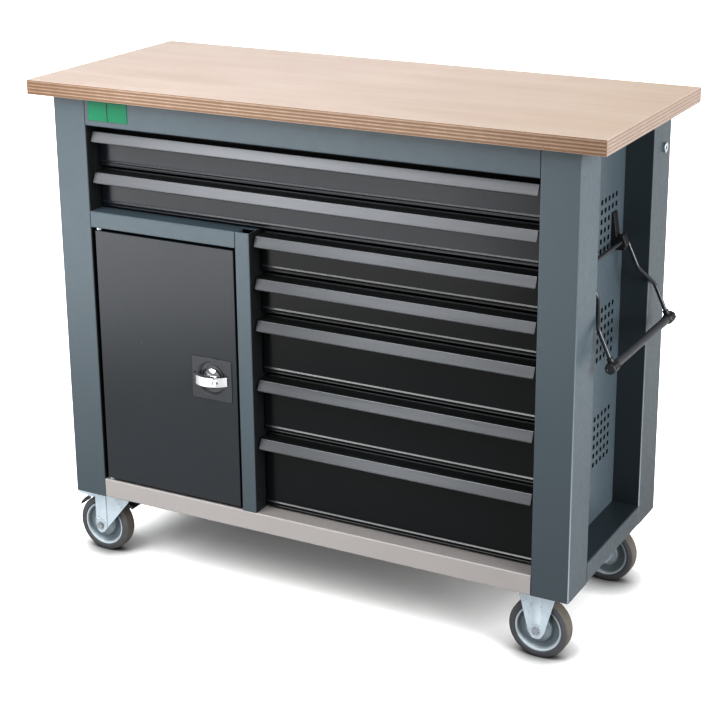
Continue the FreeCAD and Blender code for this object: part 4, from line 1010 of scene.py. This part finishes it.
me = bpy.data.meshes.new("floor")
bm.to_mesh(me)
bm.free()
me.materials.append(g.mat)
floor = bpy.data.objects.new("floor", me)
bpy.context.scene.collection.objects.link(floor)

world = bpy.data.worlds.new("studio")
world.use_nodes = True
nt = world.node_tree
nt.nodes.clear()
wo = nt.nodes.new("ShaderNodeOutputWorld")
wb = nt.nodes.new("ShaderNodeBackground")
wc = nt.nodes.new("ShaderNodeBackground")
wm = nt.nodes.new("ShaderNodeMixShader")
lp = nt.nodes.new("ShaderNodeLightPath")
wb.inputs["Color"].default_value = (1.0, 1.0, 1.0, 1)
wc.inputs["Color"].default_value = (1, 1, 1, 1)
wc.inputs["Strength"].default_value = 1.3
# a pale studio: bright behind the object, dim as a light, middling where metal mirrors it
amount = nt.nodes.new("ShaderNodeMath")
amount.operation = "MULTIPLY_ADD"
nt.links.new(lp.outputs["Is Glossy Ray"], amount.inputs[0])
amount.inputs[1].default_value = 0.13
amount.inputs[2].default_value = 0.22
nt.links.new(amount.outputs[0], wb.inputs["Strength"])
nt.links.new(lp.outputs["Is Camera Ray"], wm.inputs[0])
nt.links.new(wb.outputs[0], wm.inputs[1])
nt.links.new(wc.outputs[0], wm.inputs[2])
nt.links.new(wm.outputs[0], wo.inputs["Surface"])
bpy.context.scene.world = world

SUNS = [
    # name, from, strength, angle in degrees, mirrored
    ("sky_top", (0.0, 0.0, 5.0), 0.46, 60.0, True),
    ("sky_front", (-1.3, -3.4, 4.6), 3.40, 40.0, True),
    ("sky_right", (4.0, -0.9, 1.2), 4.70, 35.0, True),
    ("sky_side", (4.0, 0.3, 1.6), 2.10, 40.0, True),
    ("sky_back", (-1.2, 4.0, 0.7), 1.3, 50.0, False),
    ("sky_left", (-4.0, 1.4, 0.6), 1.3, 50.0, False),
]
LIGHTS = [
    # name, place, aim, width, height, watts, mirrored
    ("near_key", (-0.50, -0.80, 1.30), (-0.35, -0.24, 0.95), 0.5, 0.5, 1.9, True),
    ("left_high", (-1.4, -1.2, 1.9), (-0.1, -0.24, 0.8), 0.8, 0.8, 3.6, True),
    ("right_front", (2.4, -1.6, 1.4), (0.57, 0.0, 0.6), 0.8, 1.2, 6.9, True),
    ("low_panel", (-1.7, -2.6, 0.45), (-0.1, -0.24, 0.5), 2.6, 0.9, 15.5, True),
    ("low_near", (-1.15, -1.75, 0.30), (-0.1, -0.24, 0.6), 1.8, 0.6, 10.5, True),
    ("castor_low", (-0.2, -1.0, 0.14), (-0.5, -0.2, 0.07), 0.4, 0.12, 0.9, False),
]


def aimed(ob, place, aim):
    ob.location = place
    ob.rotation_mode = "QUATERNION"
    ob.rotation_quaternion = (Vector(aim) - Vector(place)).to_track_quat("-Z", "Y")
    ob.visible_camera = False
    bpy.context.scene.collection.objects.link(ob)


for name, place, strength, angle, mirrored in SUNS:
    ld = bpy.data.lights.new(name, "SUN")
    ld.energy = strength
    ld.angle = math.radians(angle)
    lamp = bpy.data.objects.new(name, ld)
    lamp.visible_glossy = mirrored
    aimed(lamp, place, (0.0, 0.0, 0.0))
for name, place, aim, w, h, watts, mirrored in LIGHTS:
    ld = bpy.data.lights.new(name, "AREA")
    ld.shape = "RECTANGLE"
    ld.size, ld.size_y = w, h
    ld.energy = watts
    lamp = bpy.data.objects.new(name, ld)
    lamp.visible_glossy = mirrored
    aimed(lamp, place, aim)

vs = bpy.context.scene.view_settings
vs.view_transform = "Standard"
vs.look = "None"
vs.exposure = 0.0
vs.gamma = 0.75

bpy.context.view_layer.update()
